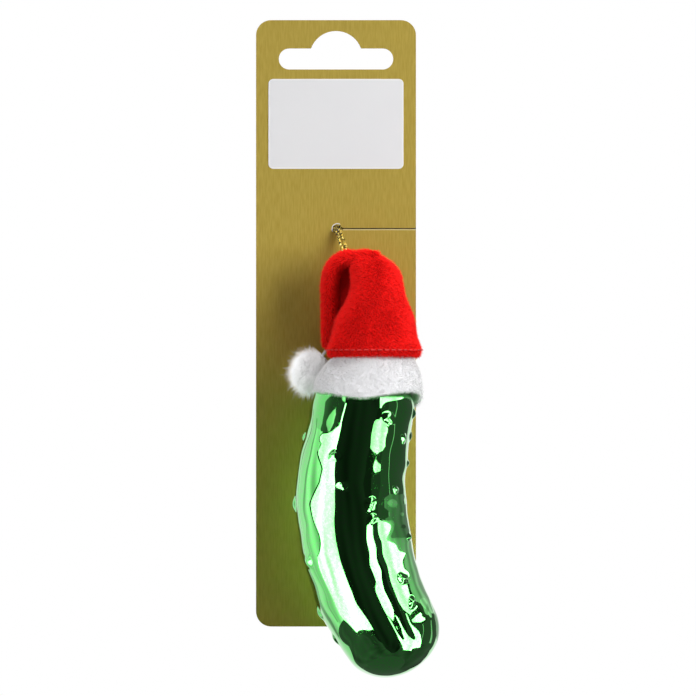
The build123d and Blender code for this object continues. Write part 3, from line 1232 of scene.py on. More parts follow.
@dataclass
class PlushHat:
    """Red plush cone with its tip folded over to the left, on the pickle's shoulder.

    A crown section is its rise over the hem, its shift right and back, and how far its half width
    and half depth draw in. A tip section is its place from the hem's middle, its turn in degrees,
    and its half thickness and half depth.
    """

    hem_middle: Point = (10.134, -16.9, -92.82)
    hem_radius: float = 13.5
    hem_edges: tuple[float, float] = (0.6, 0.3)
    cloth: float = 1.2
    pile_room: float = 0.75
    seam_rise: float = 1.7
    seam_reach: float = 0.5
    seam_bite: float = 0.25
    furrow: float = 0.12
    squareness: float = 2.15
    folds: Waves = Waves(0.22, 31)
    crown_sections: tuple[tuple[float, ...], ...] = (
        (0.0, 0.55, 0.0, 0.1, 0.1),
        (1.7, 0.7, 0.0, 0.0, 0.0),
        (4.5, 0.7, 0.2, 0.9, 0.8),
        (10.2, 1.2, 0.7, 2.6, 2.4),
        (15.9, 1.5, 1.4, 4.9, 4.5),
        (21.7, 1.4, 2.4, 6.1, 6.3),
        (25.2, 0.4, 3.2, 6.7, 7.7),
        (28.2, -1.4, 3.8, 8.9, 10.0),
    )
    hollow_rise: float = 21.7
    roof_rise: float = 1.5
    dome_rise: float = 1.6
    tip_sections: tuple[tuple[float, ...], ...] = (
        (-1.6, 4.4, 24.6, 20, 2.8, 4.4),
        (-5.8, 4.8, 27.2, 0, 2.9, 4.3),
        (-9.4, 5.6, 25.8, -45, 3.0, 4.1),
        (-11.2, 6.7, 21.2, -82, 3.1, 3.9),
        (-11.3, 7.8, 14.8, -90, 3.0, 3.5),
        (-11.7, 8.8, 7.8, -86, 2.6, 2.9),
        (-12.8, 9.5, 2.2, -80, 1.3, 1.5),
    )
    tip_pile_share: float = 0.7
    strap_share: float = 0.74
    gusset_span: tuple[float, float] = (0.24, 0.8)
    gusset_spread: float = 1.1
    gusset_half: float = 0.7
    gusset_inset: float = 1.4
    gusset_top: float = 26.0
    gusset_bearing: float = 112.0
    bare_share: float = 0.22
    bare_depth: float = 1.6
    parting: float = 2.6
    parting_depth: tuple[float, float] = (-0.8, 1.6)
    parting_slant: float = 0.4
    hem_bare: float = 0.35
    columns: int = 128
    wall_rows: int = 50
    face_rows: int = 90
    dome_rows: int = 8
    tip_rows: int = 90
    gusset_rows: int = 40
    gusset_columns: int = 48
    voxel: float = 0.42
    passes: int = 6
    pile_count: int = 45000
    pile_tries: float = 1.9
    pile_seed: int = 41
    top_margin: float = 2.0
    pile: Pile = Pile(1.15, 0.075, 0.6, 0.28, 0.35, 1, 21)
    nap: Point = (-0.15, 0, -1.0)
    swirl: Waves = Waves(1.0, 51)
    swirl_share: float = 0.5

    def crown_at(self, rise: Array) -> Array:
        """Middle and half sizes of the crown at each height, under the pile.

        Args:
            rise: heights over the hem.

        Returns:
            Rows of X, Y, half width and half depth.
        """
        table = np.array(self.crown_sections)
        right, back, width_in, depth_in = smooth_through(table[:, 0], table[:, 1:], rise).T
        seam = np.exp(-(((rise - self.seam_rise) / self.seam_reach) ** 2))
        under_pile = self.hem_radius - self.pile_room * (1 - self.seam_bite * seam)
        x, y = self.hem_middle[0] + right, self.hem_middle[1] + back
        return np.stack([x, y, under_pile - width_in, under_pile - depth_in], axis=1)

    def crown_rings(self, rise: Array, inset: float) -> Array:
        """Level, slightly squared ovals of the crown, counter-clockwise.

        Args:
            rise: their heights over the hem.
            inset: how far they are drawn in.

        Returns:
            Points by ring and column.
        """
        x, y, wide, deep = self.crown_at(rise).T
        angle = round_turn(self.columns)
        across, behind = (
            signed_power(wave, 2 / self.squareness) for wave in (np.cos(angle), np.sin(angle))
        )
        grow = 1 + self.folds.at(angle[None], rise[:, None]) / self.hem_radius
        height = np.broadcast_to((self.hem_middle[2] + rise)[:, None], grow.shape)
        return np.stack(
            [
                x[:, None] + (wide - inset)[:, None] * grow * across,
                y[:, None] + (deep - inset)[:, None] * grow * behind,
                height,
            ],
            axis=-1,
        )

    def crown_skin(self) -> Skin:
        """Hollow cone: its rings run down inside, round the hem and up outside to a round top.

        Returns:
            The cone's skin.
        """
        inner_edge, outer_edge = self.hem_edges
        wall = self.crown_rings(np.linspace(self.hollow_rise, inner_edge, self.wall_rows), self.cloth)
        rises = np.linspace(outer_edge, self.crown_sections[-1][0], self.face_rows)
        face = self.crown_rings(rises, 0.0)
        roof = wall[0].mean(axis=0) + [0, 0, self.roof_rise]
        top = face[-1].mean(axis=0)
        share = np.linspace(0, 1, self.dome_rows)[1:, None, None]
        dome = top + (face[-1] - top) * np.sqrt(1 - share**2) - self.dome_rise * share * DOWN
        pole = np.broadcast_to(roof, (1, self.columns, 3))
        return Skin.over_rings(np.concatenate([pole, wall, face, dome]))

    def tip_path(self, at: Array) -> tuple[Array, Array, Array]:
        """Middle, turn and half sizes of the folded tip.

        Args:
            at: shares of its length.

        Returns:
            Its middles, its turns in radians, and its half thicknesses and depths.
        """
        table = np.array(self.tip_sections)
        table[:, 3] = np.radians(table[:, 3])
        run = run_length(table[:, :3])
        values = smooth_through(run / run[-1], table, at)
        return values[:, :3] + np.array(self.hem_middle), values[:, 3], values[:, 4:]

    def tip_skin(self) -> Skin:
        """Flattened tube over the tip's path: ovals square to the way it runs.

        Returns:
            The tip's skin.
        """
        middle, turn, half = self.tip_path(np.linspace(0, 1, self.tip_rows))
        half = half - self.tip_pile_share * self.pile_room
        thick = np.stack([-np.sin(turn), np.zeros_like(turn), -np.cos(turn)], axis=1)
        middle = middle - (1 - self.strap_share) * half[:, :1] * thick
        back = np.array([0, 1.0, 0])
        return Skin.tube(middle, half[:, 1:] * back, self.strap_share * half[:, :1] * thick, self.columns)

    def gusset_edges(self) -> tuple[Array, Array]:
        """The gusset's two edges: along the hanging tip's back, and down the crown's back.

        Returns:
            Points of the one edge, and of the other.
        """
        middle, _, half = self.tip_path(np.linspace(*self.gusset_span, self.gusset_rows))
        start = middle + (half[:, 1:] - self.gusset_inset) * [0, 1, 0]
        x, y, wide, deep = self.crown_at(np.clip(middle[:, 2] - self.hem_middle[2], 0, self.gusset_top)).T
        lean = math.radians(self.gusset_bearing)
        stop = np.stack([x + wide * math.cos(lean), y + deep * math.sin(lean), middle[:, 2]], axis=1)
        return start, stop

    def gusset_skin(self) -> Skin:
        """Cloth at the back of the fold, between the hanging tip and the crown.

        Returns:
            The gusset's skin, a flat tube from edge to edge.
        """
        start, stop = (edge[::-1] for edge in self.gusset_edges())
        reach = self.gusset_spread * (stop - start) / 2
        thick = np.broadcast_to([0, -self.gusset_half, 0], reach.shape)
        return Skin.tube((start + stop) / 2, reach, thick, self.gusset_columns)

    def on_gusset(self, places: Array) -> Array:
        """Which places lie on the gusset between its edges.

        Args:
            places: the places.

        Returns:
            True for each that does.
        """
        start, stop = (edge[np.argsort(edge[:, 2])] for edge in self.gusset_edges())
        left, right = (
            np.stack([np.interp(places[:, 2], edge[:, 2], edge[:, i]) for i in (0, 1)], axis=1)
            for edge in (start, stop)
        )
        share = (places[:, 0] - left[:, 0]) / (right[:, 0] - left[:, 0])
        off = np.abs(places[:, 1] - (left[:, 1] + share * (right[:, 1] - left[:, 1])))
        between = (share > self.bare_share) & (share < 1)
        return between & (off < self.bare_depth) & (places[:, 2] > start[0, 2])

    def under_thread(self, places: Array) -> Array:
        """Which places lie where the pom-pom's thread swings.

        Args:
            places: the places.

        Returns:
            True for each that does.
        """
        right, back, up = (places - np.array(THREAD_TOP)).T
        nearest, farthest = self.parting_depth
        near = (np.hypot(right, up) < self.parting) & (back > nearest) & (back < farthest)
        return near & (right + up < self.parting_slant)

    def pile_roots(self, mesh: Mesh) -> tuple[Array, Array]:
        """Places for the pile: the outside only, bare along the seam, in the fold and at the thread.

        Args:
            mesh: the cloth.

        Returns:
            The places, and the way out at each.
        """
        roots, outs = scatter(mesh, int(self.pile_tries * self.pile_count), self.pile_seed)
        rise = roots[:, 2] - self.hem_middle[2]
        x, y, wide, deep = self.crown_at(np.clip(rise, 0, self.crown_sections[-1][0])).T
        ratio = np.hypot((roots[:, 0] - x) / wide, (roots[:, 1] - y) / deep)
        outside = (ratio > 1 - 0.5 * self.cloth / wide) | (rise > self.hollow_rise + self.top_margin)
        open_air = outside & (rise > self.hem_bare) & (np.abs(rise - self.seam_rise) > self.furrow)
        open_air &= ~self.on_gusset(roots) & ~self.under_thread(roots)
        chosen = np.flatnonzero(open_air)[: self.pile_count]
        return roots[chosen], outs[chosen]

    def build(self) -> list[Piece]:
        """Cloth, pile, and the finish on the seam's stitches.

        Returns:
            The cloth and the pile.
        """
        skins = Skin.joined([self.crown_skin(), self.tip_skin(), self.gusset_skin()])
        mesh = fused("hat_cloth", skins, self.voxel, self.passes)
        cloth = place_piece("hat_cloth", mesh, PLUSH_KNIT, Body.ORNAMENT, "hat_crown")
        roots, outs = self.pile_roots(mesh)
        lay = brushed(outs, np.array(self.nap))
        swirl = self.swirl.at(np.arctan2(outs[:, 1], outs[:, 0]), roots[:, 2])
        lay = unit(lay + self.swirl_share * swirl[:, None] * np.cross(outs, lay))
        pile = place_piece("hat_pile", self.pile.grow(roots, outs, lay), RED_FUR, Body.ORNAMENT)
        stitches = NODES["hem_stitches"]
        HEM_THREAD.dress(stitches)
        return [cloth, pile]


@dataclass
class FleeceBand:
    """White fleece ring under the hem, wider at its foot, lowest at its right and back.

    A swell is its size, and its middle and reach in degrees round the ring from the right.
    """

    top: float = -92.9
    middle_y: float = -16.9
    top_middle: float = 10.3
    foot_shift: float = -1.5
    levels: tuple[float, ...] = (0.0, 0.25, 0.7, 1.0)
    outer_reach: tuple[float, ...] = (11.5, 12.4, 14.3, 15.8)
    inner_reach: tuple[float, ...] = (10.8, 11.8, 13.4, 14.1)
    corner_power: float = 0.55
    foot_drop: float = 10.0
    front_sag: Point = (1.6, 263.0, 32.0)
    back_sag: Point = (4.4, 32.0, 30.0)
    front_lift: Point = (-0.8, 300.0, 35.0)
    left_dip: Point = (0.4, 180.0, 40.0)
    right_bulge: Point = (1.1, 0.0, 45.0)
    lumps: Waves = Waves(0.13, 71, count=18)
    lump_girth: float = 9.0
    card_plane: float = -0.9
    columns: int = 220
    rows: int = 72
    pile_count: int = 19800
    pile_tries: int = 2
    pile_seed: int = 81
    pile_edge: float = -0.1
    pile: Pile = Pile(0.85, 0.035, 0.8, 0.35, 0.3, 2, 61)

    def swell(self, around: Array, shape: Point) -> Array:
        """A soft rise by a bell curve of the angle.

        Args:
            around: angles round the ring, in radians.
            shape: its size, middle and reach.

        Returns:
            The rise at each angle.
        """
        size, middle, reach = shape
        away = (np.degrees(around) - middle + 180) % 360 - 180
        return size * np.exp(-((away / reach) ** 2))

    def rings(self) -> Array:
        """Section with rounded corners by its own angle, carried round the pickle's shoulder.

        Returns:
            Points by place in the section, and round the ring.
        """
        around, section = round_turn(self.columns), round_turn(self.rows)
        out, up = (signed_power(wave, self.corner_power) for wave in (np.cos(section), np.sin(section)))
        level = 0.5 - 0.5 * up
        reaches = np.array([self.outer_reach, self.inner_reach]).T
        outer, inner = smooth_through(np.array(self.levels), reaches, level).T
        reach = (outer + inner) / 2 + out * (outer - inner) / 2
        foot = self.foot_drop + self.swell(around, self.front_sag) + self.swell(around, self.back_sag)
        head = self.swell(around, self.front_lift) + self.swell(around, self.left_dip)
        bulge = np.sin(math.pi * level)[:, None] * self.swell(around, self.right_bulge)
        soft = self.lumps.at(around[None], self.lump_girth * section[:, None]) + bulge
        radius = reach[:, None] + soft * np.clip(out, 0, 1)[:, None]
        x = self.top_middle + self.foot_shift * level[:, None] + radius * np.cos(around)
        y = self.middle_y + radius * np.sin(around)
        return np.stack([x, y, self.top - head - level[:, None] * (foot - head)], axis=-1)

    def build(self) -> list[Piece]:
        """The padded ring and the pile on its outside.

        Returns:
            Both pieces.
        """
        band = place_piece(
            "band_fleece", Skin.over_tyre(self.rings()), FLEECE_LUMPS, Body.ORNAMENT, "hat_band"
        )
        roots, outs = scatter(band.data, self.pile_tries * self.pile_count, self.pile_seed)
        level = np.clip((self.top - roots[:, 2]) / self.foot_drop, 0, 1)
        middle_x = self.top_middle + self.foot_shift * level
        flat = np.stack([roots[:, 0] - middle_x, roots[:, 1] - self.middle_y], axis=1)
        facing = (outs[:, :2] * unit(flat)).sum(1)
        chosen = np.flatnonzero(facing > self.pile_edge)[: self.pile_count]
        roots, outs = roots[chosen], outs[chosen]
        fibres = self.pile.grow(roots, outs, brushed(outs, DOWN), lambda p: before_card(p, self.card_plane))
        pile = place_piece("band_pile", fibres, WHITE_FUR, Body.ORNAMENT)
        return [band, pile]


@dataclass
class Pompom:
    """White pom-pom on the hat's tip, between the band and the card."""

    middle: Point = (-7.378, -5.4, -97.32)
    reach: Point = (4.9, 4.9, 6.6)
    core_share: float = 0.7
    lumps: Waves = Waves(0.05, 101)
    lump_height: float = 12.0
    card_plane: float = -0.12
    tip_room: float = 1.9
    tuft_count: int = 1500
    tuft_span: tuple[float, float] = (0.27, 0.65)
    tuft_lean: float = 0.8
    tuft_seed: int = 112
    rows: int = 60
    columns: int = 90
    fibre_count: int = 12500
    fibre_seed: int = 111
    pile: Pile = Pile(2.5, 0.045, 0.15, 0.8, 0.2, 2, 91)

    def tuft(self) -> tuple[Array, Array]:
        """The fibres that are tied in along the thread.

        Returns:
            Their roots, and their ways out.
        """
        draw = np.random.default_rng(self.tuft_seed)
        way = np.array(self.middle) - np.array(THREAD_TOP)
        share = draw.uniform(*self.tuft_span, (self.tuft_count, 1))
        outs = unit(draw.normal(0, 1, (self.tuft_count, 3)) + self.tuft_lean * unit(way))
        return np.array(THREAD_TOP) + share * way, outs

    def core(self) -> Skin:
        """Lumpy egg: a globe of the three reaches, swollen by soft waves.

        Returns:
            The egg's skin.
        """
        level = np.linspace(-math.pi / 2, math.pi / 2, self.rows)[:, None]
        around = round_turn(self.columns)[None]
        lumps = 1 + np.cos(level) * self.lumps.at(around, self.lump_height * level)
        x, y = np.cos(level) * np.cos(around), np.cos(level) * np.sin(around)
        globe = np.stack([x, y, np.sin(level) + 0 * around], axis=-1)
        size = np.array(self.reach) * self.core_share
        return Skin.over_rings(np.array(self.middle) + globe * size * lumps[..., None])

    def trimmed(self, points: Array) -> Array:
        """Points kept in front of the card, and off the hat's tip when the pom-pom swings up.

        Args:
            points: points of the fibres.

        Returns:
            The points, pressed to a slanting plane under the tip and to the card's plane.
        """
        facing = np.array([1.0, 0, 1.0]) / math.sqrt(2)
        over = (points - np.array(THREAD_TOP)) @ facing + self.tip_room
        return before_card(points - np.maximum(over, 0)[..., None] * facing, self.card_plane)

    def build(self) -> list[Piece]:
        """The padded core, its fibres, and the finish on the thread.

        Returns:
            The core and the fibres.
        """
        core = place_piece("pompom_core", self.core(), FLEECE_LUMPS, Body.POMPOM, "hat_pompom")
        spread = scatter(core.data, self.fibre_count, self.fibre_seed)
        roots, outs = (np.concatenate(pair) for pair in zip(spread, self.tuft()))
        skin = self.pile.grow(roots, outs, np.broadcast_to(DOWN, outs.shape), self.trimmed)
        fibres = place_piece("pompom_fibres", skin, WHITE_FUR, Body.POMPOM)
        POMPOM_THREAD.dress(NODES["pompom_thread"])
        return [core, fibres]


@dataclass
class GoldCord:
    """Doubled metallic cord: plies twisted round the loop's line, a neck in the hole and a knot."""

    route: tuple[Point, ...] = (
        (1.13, -0.66, -56.8),
        (9.97, -13.51, -83.71),
        (11.938, -16.374, -89.695),
        (10.156, -16.732, -90.086),
        (8.21, -13.63, -83.66),
        (0.07, -0.66, -56.8),
    )
    diameter: float = 1.0
    length: float = 77.4
    ply_count: int = 3
    ply_radius: float = 0.265
    lay_radius: float = 0.235
    pitch: float = 2.2
    sides: int = 8
    strand_offset: float = 0.53
    neck_front: float = -0.66
    neck_back: float = 0.75
    knot_start: float = 0.66
    knot_length: float = 3.0
    knot_ring: float = 1.05
    knot_wave: float = 0.5
    knot_depth: float = 0.8
    tail_length: float = 9.0
    tail_splay: float = 1.3
    tail_tuck: float = 0.9
    tail_reach: float = 1.4
    tail_swing: float = 0.6
    tail_fall: float = 1.4
    curve_steps: int = 64
    loop_points: int = 620
    neck_points: int = 14
    knot_points: int = 220
    tail_points: int = 60

    def line(self) -> Array:
        """Points along the route's smooth line, in millimetres, from its curve with no bevel.

        Returns:
            The points.
        """
        curve = bpy.data.curves.new("cord_route", "CURVE")
        curve.dimensions = "3D"
        curve.resolution_u = self.curve_steps
        spline = curve.splines.new("NURBS")
        spline.points.add(len(self.route) - 1)
        points = np.concatenate([np.array(self.route) * MM, np.ones((len(self.route), 1))], axis=1)
        spline.points.foreach_set("co", points.ravel())
        spline.order_u = 3
        spline.use_endpoint_u = True
        holder = bpy.data.objects.new("cord_route", curve)
        mesh = bpy.data.meshes.new_from_object(holder)
        line = read_rows(mesh.vertices, "co").astype(float) / MM
        bpy.data.objects.remove(holder)
        bpy.data.curves.remove(curve)
        bpy.data.meshes.remove(mesh)
        return line

    def plies(self, line: Array, aside: Point) -> Skin:
        """Plies twisted round a line: each a round section carried along a helix.

        Args:
            line: the points that the strand follows.
            aside: a direction that is never along the line.

        Returns:
            All plies as one skin.
        """
        run = unit(np.gradient(line, axis=0))
        way = np.array([aside])
        first = unit(way - run * (way * run).sum(1, keepdims=True))
        second = np.cross(run, first)
        twist = TURN * run_length(line) / self.pitch
        skins = []
        for k in range(self.ply_count):
            phase = (twist + TURN * k / self.ply_count)[:, None]
            middle = line + self.lay_radius * (first * np.cos(phase) + second * np.sin(phase))
            skins.append(Skin.tube(middle, self.ply_radius * first, self.ply_radius * second, self.sides))
        return Skin.joined(skins)

    def loop(self) -> Piece:
        """Both strands from the hole to the wire's eye.

        Returns:
            The strands.
        """
        line = evenly(self.line(), self.loop_points)
        skin = self.plies(line, (0.0, 0.85, -0.5))
        piece = place_piece("cord_strands", skin, GoldLame(), Body.ORNAMENT, "cord_loop")
        return piece

    def neck(self) -> Piece:
        """Both strands where they pass through the card; the slit flattens them.

        Returns:
            The strands there.
        """
        y = np.linspace(self.neck_back, self.neck_front, self.neck_points)
        sides = (HOLE[0] - self.strand_offset, HOLE[0] + self.strand_offset)
        lines = [np.stack([np.full_like(y, x), y, np.full_like(y, HOLE[2])], axis=1) for x in sides]
        skin = Skin.joined([self.plies(line, (0.0, 0.0, 1.0)) for line in lines])
        piece = place_piece("cord_passage", skin, GoldLame(), Body.CORD, "cord_neck")
        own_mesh(piece)
        return piece

    def knot(self) -> Piece:
        """Overhand knot behind the card: a line that winds three times through its ring, and two tails.

        Returns:
            The knot.
        """
        turn = np.linspace(0, TURN, self.knot_points)
        swing = self.knot_ring + self.knot_wave * np.cos(3 * turn)
        middle = self.knot_start + self.knot_length / 2
        x, z = HOLE[0] + swing * np.cos(2 * turn), HOLE[2] + swing * np.sin(2 * turn)
        ring = np.stack([x, middle + self.knot_depth * np.sin(3 * turn), z], axis=1)
        skins = [self.plies(ring, (0.0, 1.0, 0.15))]
        share = np.linspace(0, 1, self.tail_points)
        splay = self.strand_offset + (self.tail_splay - self.strand_offset) * share
        y = self.knot_start + self.knot_length - self.tail_tuck
        y = y + self.tail_reach * np.sin(share * math.pi / 2) ** self.tail_swing
        z = HOLE[2] - self.tail_length * share**self.tail_fall
        for side in (-1, 1):
            tail = np.stack([HOLE[0] + side * splay, y, z], axis=1)
            skins.append(self.plies(tail, (1.0, 0.0, 0.0)))
        return place_piece("cord_overhand", Skin.joined(skins), GoldLame(), Body.KNOT, "cord_knot")

    def build(self) -> list[Piece]:
        """All of the cord."""
        return [self.loop(), self.neck(), self.knot()]


@dataclass
class HangCard:
    """Gold hang card and its blank label.

    The board's slit is drawn as a knife leaves it: slanting, so that the lips overlap, and the
    cord has worn its hole wider up and to the left.
    """

    hole_radius: float = 1.45
    worn_radius: float = 1.42
    slit_half: float = 0.2
    lower_lip: float = -56.62
    upper_lip: float = -56.3
    back_upper_lip: float = -56.64
    reach: float = 0.02

    def board(self) -> Mesh:
        """The card's mesh with its hole worn and its slit slanted.

        Returns:
            The mesh.
        """
        mesh = NODES["hang_card"].data.copy()
        mesh.name = "card_board"
        points = read_rows(mesh.vertices, "co") / MM
        from_hole = points[:, [0, 2]] - np.array([HOLE[0], HOLE[2]])
        in_slit = (from_hole[:, 0] > 0) & (np.abs(from_hole[:, 1]) < self.slit_half + self.reach)
        on_rim = (np.linalg.norm(from_hole, axis=1) < self.hole_radius + self.reach) & ~in_slit
        worn = np.array(WORN_HOLE) + from_hole * self.worn_radius / self.hole_radius
        points[:, [0, 2]] = np.where(on_rim[:, None], worn, points[:, [0, 2]])
        front, upper = points[:, 1] < self.reach, from_hole[:, 1] > 0
        points[in_slit & front & upper, 2] = self.upper_lip
        points[in_slit & front & ~upper, 2] = self.lower_lip
        points[in_slit & ~front & upper, 2] = self.back_upper_lip
        mesh.vertices.foreach_set("co", (points * MM).astype(np.float32).ravel())
        mesh.update()
        return mesh

    def build(self) -> Piece:
        """The board, and finishes on the label and on the metal under the hat.

        Returns:
            The board.
        """
        board = place_piece("card_board", self.board(), GoldBoard(), Body.CARD, "hang_card")
        LabelPaper().dress(NODES["blank_label"])
        CAP_METAL.dress(NODES["ornament_cap"])
        WIRE_STEEL.dress(NODES["hanger_wire"])
        log.info("label, cap and wire dressed")
        return board


def light_only(source: Piece, pieces: list[Piece]) -> None:
    """Lets a lamp or a bright panel light these pieces alone.

    Args:
        source: the lamp or panel.
        pieces: the pieces.
    """
    lit = bpy.data.collections.new(f"lit_by_{source.name}")
    for piece in pieces:
        lit.objects.link(piece)
    source.light_linking.receiver_collection = lit


@dataclass(frozen=True)
class Lamp:
    """Soft lamp that faces the ornament and lights one group of pieces.

    Attributes:
        name: the lamp's name.
        group: the group's name.
        turn: degrees right of the camera.
        rise: degrees above level.
        size: width and height of its face.
        bright: how many times as bright as white paper its face is.
        away: its distance from the aim.
        aim: the point that it faces.
    """

    name: str
    group: str
    turn: float
    rise: float
    size: tuple[float, float]
    bright: float
    away: float = 1200.0
    aim: Point = (10.0, -17.0, -130.0)

    def build(self, pieces: list[Piece]) -> None:
        """Hangs the lamp on a globe round its aim.

        Args:
            pieces: the pieces that it lights.
        """
        width, height = (side * MM for side in self.size)
        face = bpy.data.lights.new(self.name, "AREA")
        face.shape = "RECTANGLE"
        face.size, face.size_y = width, height
        face.energy = self.bright * math.pi * width * height
        turn, rise = math.radians(self.turn), math.radians(self.rise)
        level = math.cos(rise)
        way = np.array([level * math.sin(turn), -level * math.cos(turn), math.sin(rise)])
        lamp = add_object(self.name, face)
        lamp.location = (np.array(self.aim) + self.away * way) * MM
        lamp.rotation_euler = (math.pi / 2 - rise, 0, turn)
        lamp.visible_camera = False
        light_only(lamp, pieces)


def glowing(name: str, points: Array, faces: list[list[int]], bright: Array) -> Piece:
    """Adds a glowing sheet to the stage that reflections alone show.

    Args:
        name: the sheet's name.
        points: its points.
        faces: its faces.
        bright: how bright it is at each point, where 1 is white.

    Returns:
        The sheet.
    """
    mesh = bpy.data.meshes.new(name)
    mesh.from_pydata((points * MM).tolist(), [], faces)
    mesh.attributes.new("bright", "FLOAT", "POINT").data.foreach_set("value", bright.astype(np.float32))
    material = bpy.data.materials.get("lit_face")
    if material is None:
        r = Recipe(bpy.data.materials.new("lit_face"))
        glow = r.node("ShaderNodeEmission", Color=WHITE, Strength=r.mark("bright"))
        r.feed(r.tree.nodes["Material Output"].inputs["Surface"], glow.outputs[0])
        material = r.owner
    mesh.materials.append(material)
    sheet = add_object(name, mesh)
    for kind in ("camera", "diffuse", "transmission", "volume_scatter", "shadow"):
        setattr(sheet, f"visible_{kind}", False)
    return sheet


@dataclass(frozen=True)
class Panel:
    """Bent sheet on a stand round the ornament, shown in reflections alone.

    Attributes:
        name: the panel's name.
        bright: how bright its face is at its left and right side, where 1 is white, before its streaks.
        rows: from its head down, a height, and its left and right side in degrees right of the camera.
        away: its distance from the ornament's middle.
        streak: how much its brightness varies in upright streaks.
        streak_lengths: the shortest and longest streak.
        streak_pace: how many times closer together than once round the streaks are.
        glow_limits: how far the streaks may dim and brighten it.
        middle: the ornament's middle.
        grid: how many points it has up and across.
    """

    name: str
    bright: tuple[float, float]
    rows: tuple[Point, ...]
    away: float = 60.0
    streak: float = 0.16
    streak_lengths: tuple[float, float] = (50, 160)
    streak_pace: int = 4
    glow_limits: tuple[float, float] = (0.4, 1.6)
    middle: Point = (10.0, -17.0, -140.0)
    grid: tuple[int, int] = (64, 24)

    @classmethod
    def screen(
        cls, name: str, bright: float, rises: tuple[float, float], turns: tuple[float, float], away: float
    ) -> "Panel":
        """An even panel farther off, with a level head and foot.

        Args:
            name: the panel's name.
            bright: how bright its face is, where 1 is white.
            rises: its head and foot, in degrees above the ornament's middle.
            turns: its left and right side, in degrees right of the camera.
            away: its distance.

        Returns:
            The panel.
        """
        heights = (cls.middle[2] + away * math.tan(math.radians(rise)) for rise in rises)
        rows = tuple((height, *turns) for height in heights)
        return cls(name, (bright, bright), rows, away, streak=0.0, grid=(2, 40))

    def build(self) -> Piece:
        """Bends the panel round the ornament: its sides run straight from row to row.

        Returns:
            The panel.
        """
        up, across = self.grid
        table = np.array(self.rows)[::-1]
        height = np.linspace(table[0, 0], table[-1, 0], up)
        left, right = (np.interp(height, table[:, 0], table[:, i])[:, None] for i in (1, 2))
        turn = np.radians(left + (right - left) * np.linspace(0, 1, across))
        x, y, _ = self.middle
        points = np.stack(
            [x + self.away * np.sin(turn), y - self.away * np.cos(turn), height[:, None] + 0 * turn],
            axis=-1,
        )
        faces = grid_faces(np.arange(up * across).reshape(up, across))
        streaks = Waves(self.streak, len(self.name), lengths=self.streak_lengths)
        uneven = streaks.at(self.streak_pace * turn, height[:, None])
        glow = np.linspace(*self.bright, across) * (1 + uneven).clip(*self.glow_limits)
        return glowing(self.name, points.reshape(-1, 3), faces.tolist(), glow.ravel())


def disc(reach: float, height: float, sides: int) -> Array:
    """Points of a level round sheet about the upright axis."""
    angle = round_turn(sides)
    return np.stack([reach * np.cos(angle), reach * np.sin(angle), np.full(sides, height)], axis=1)


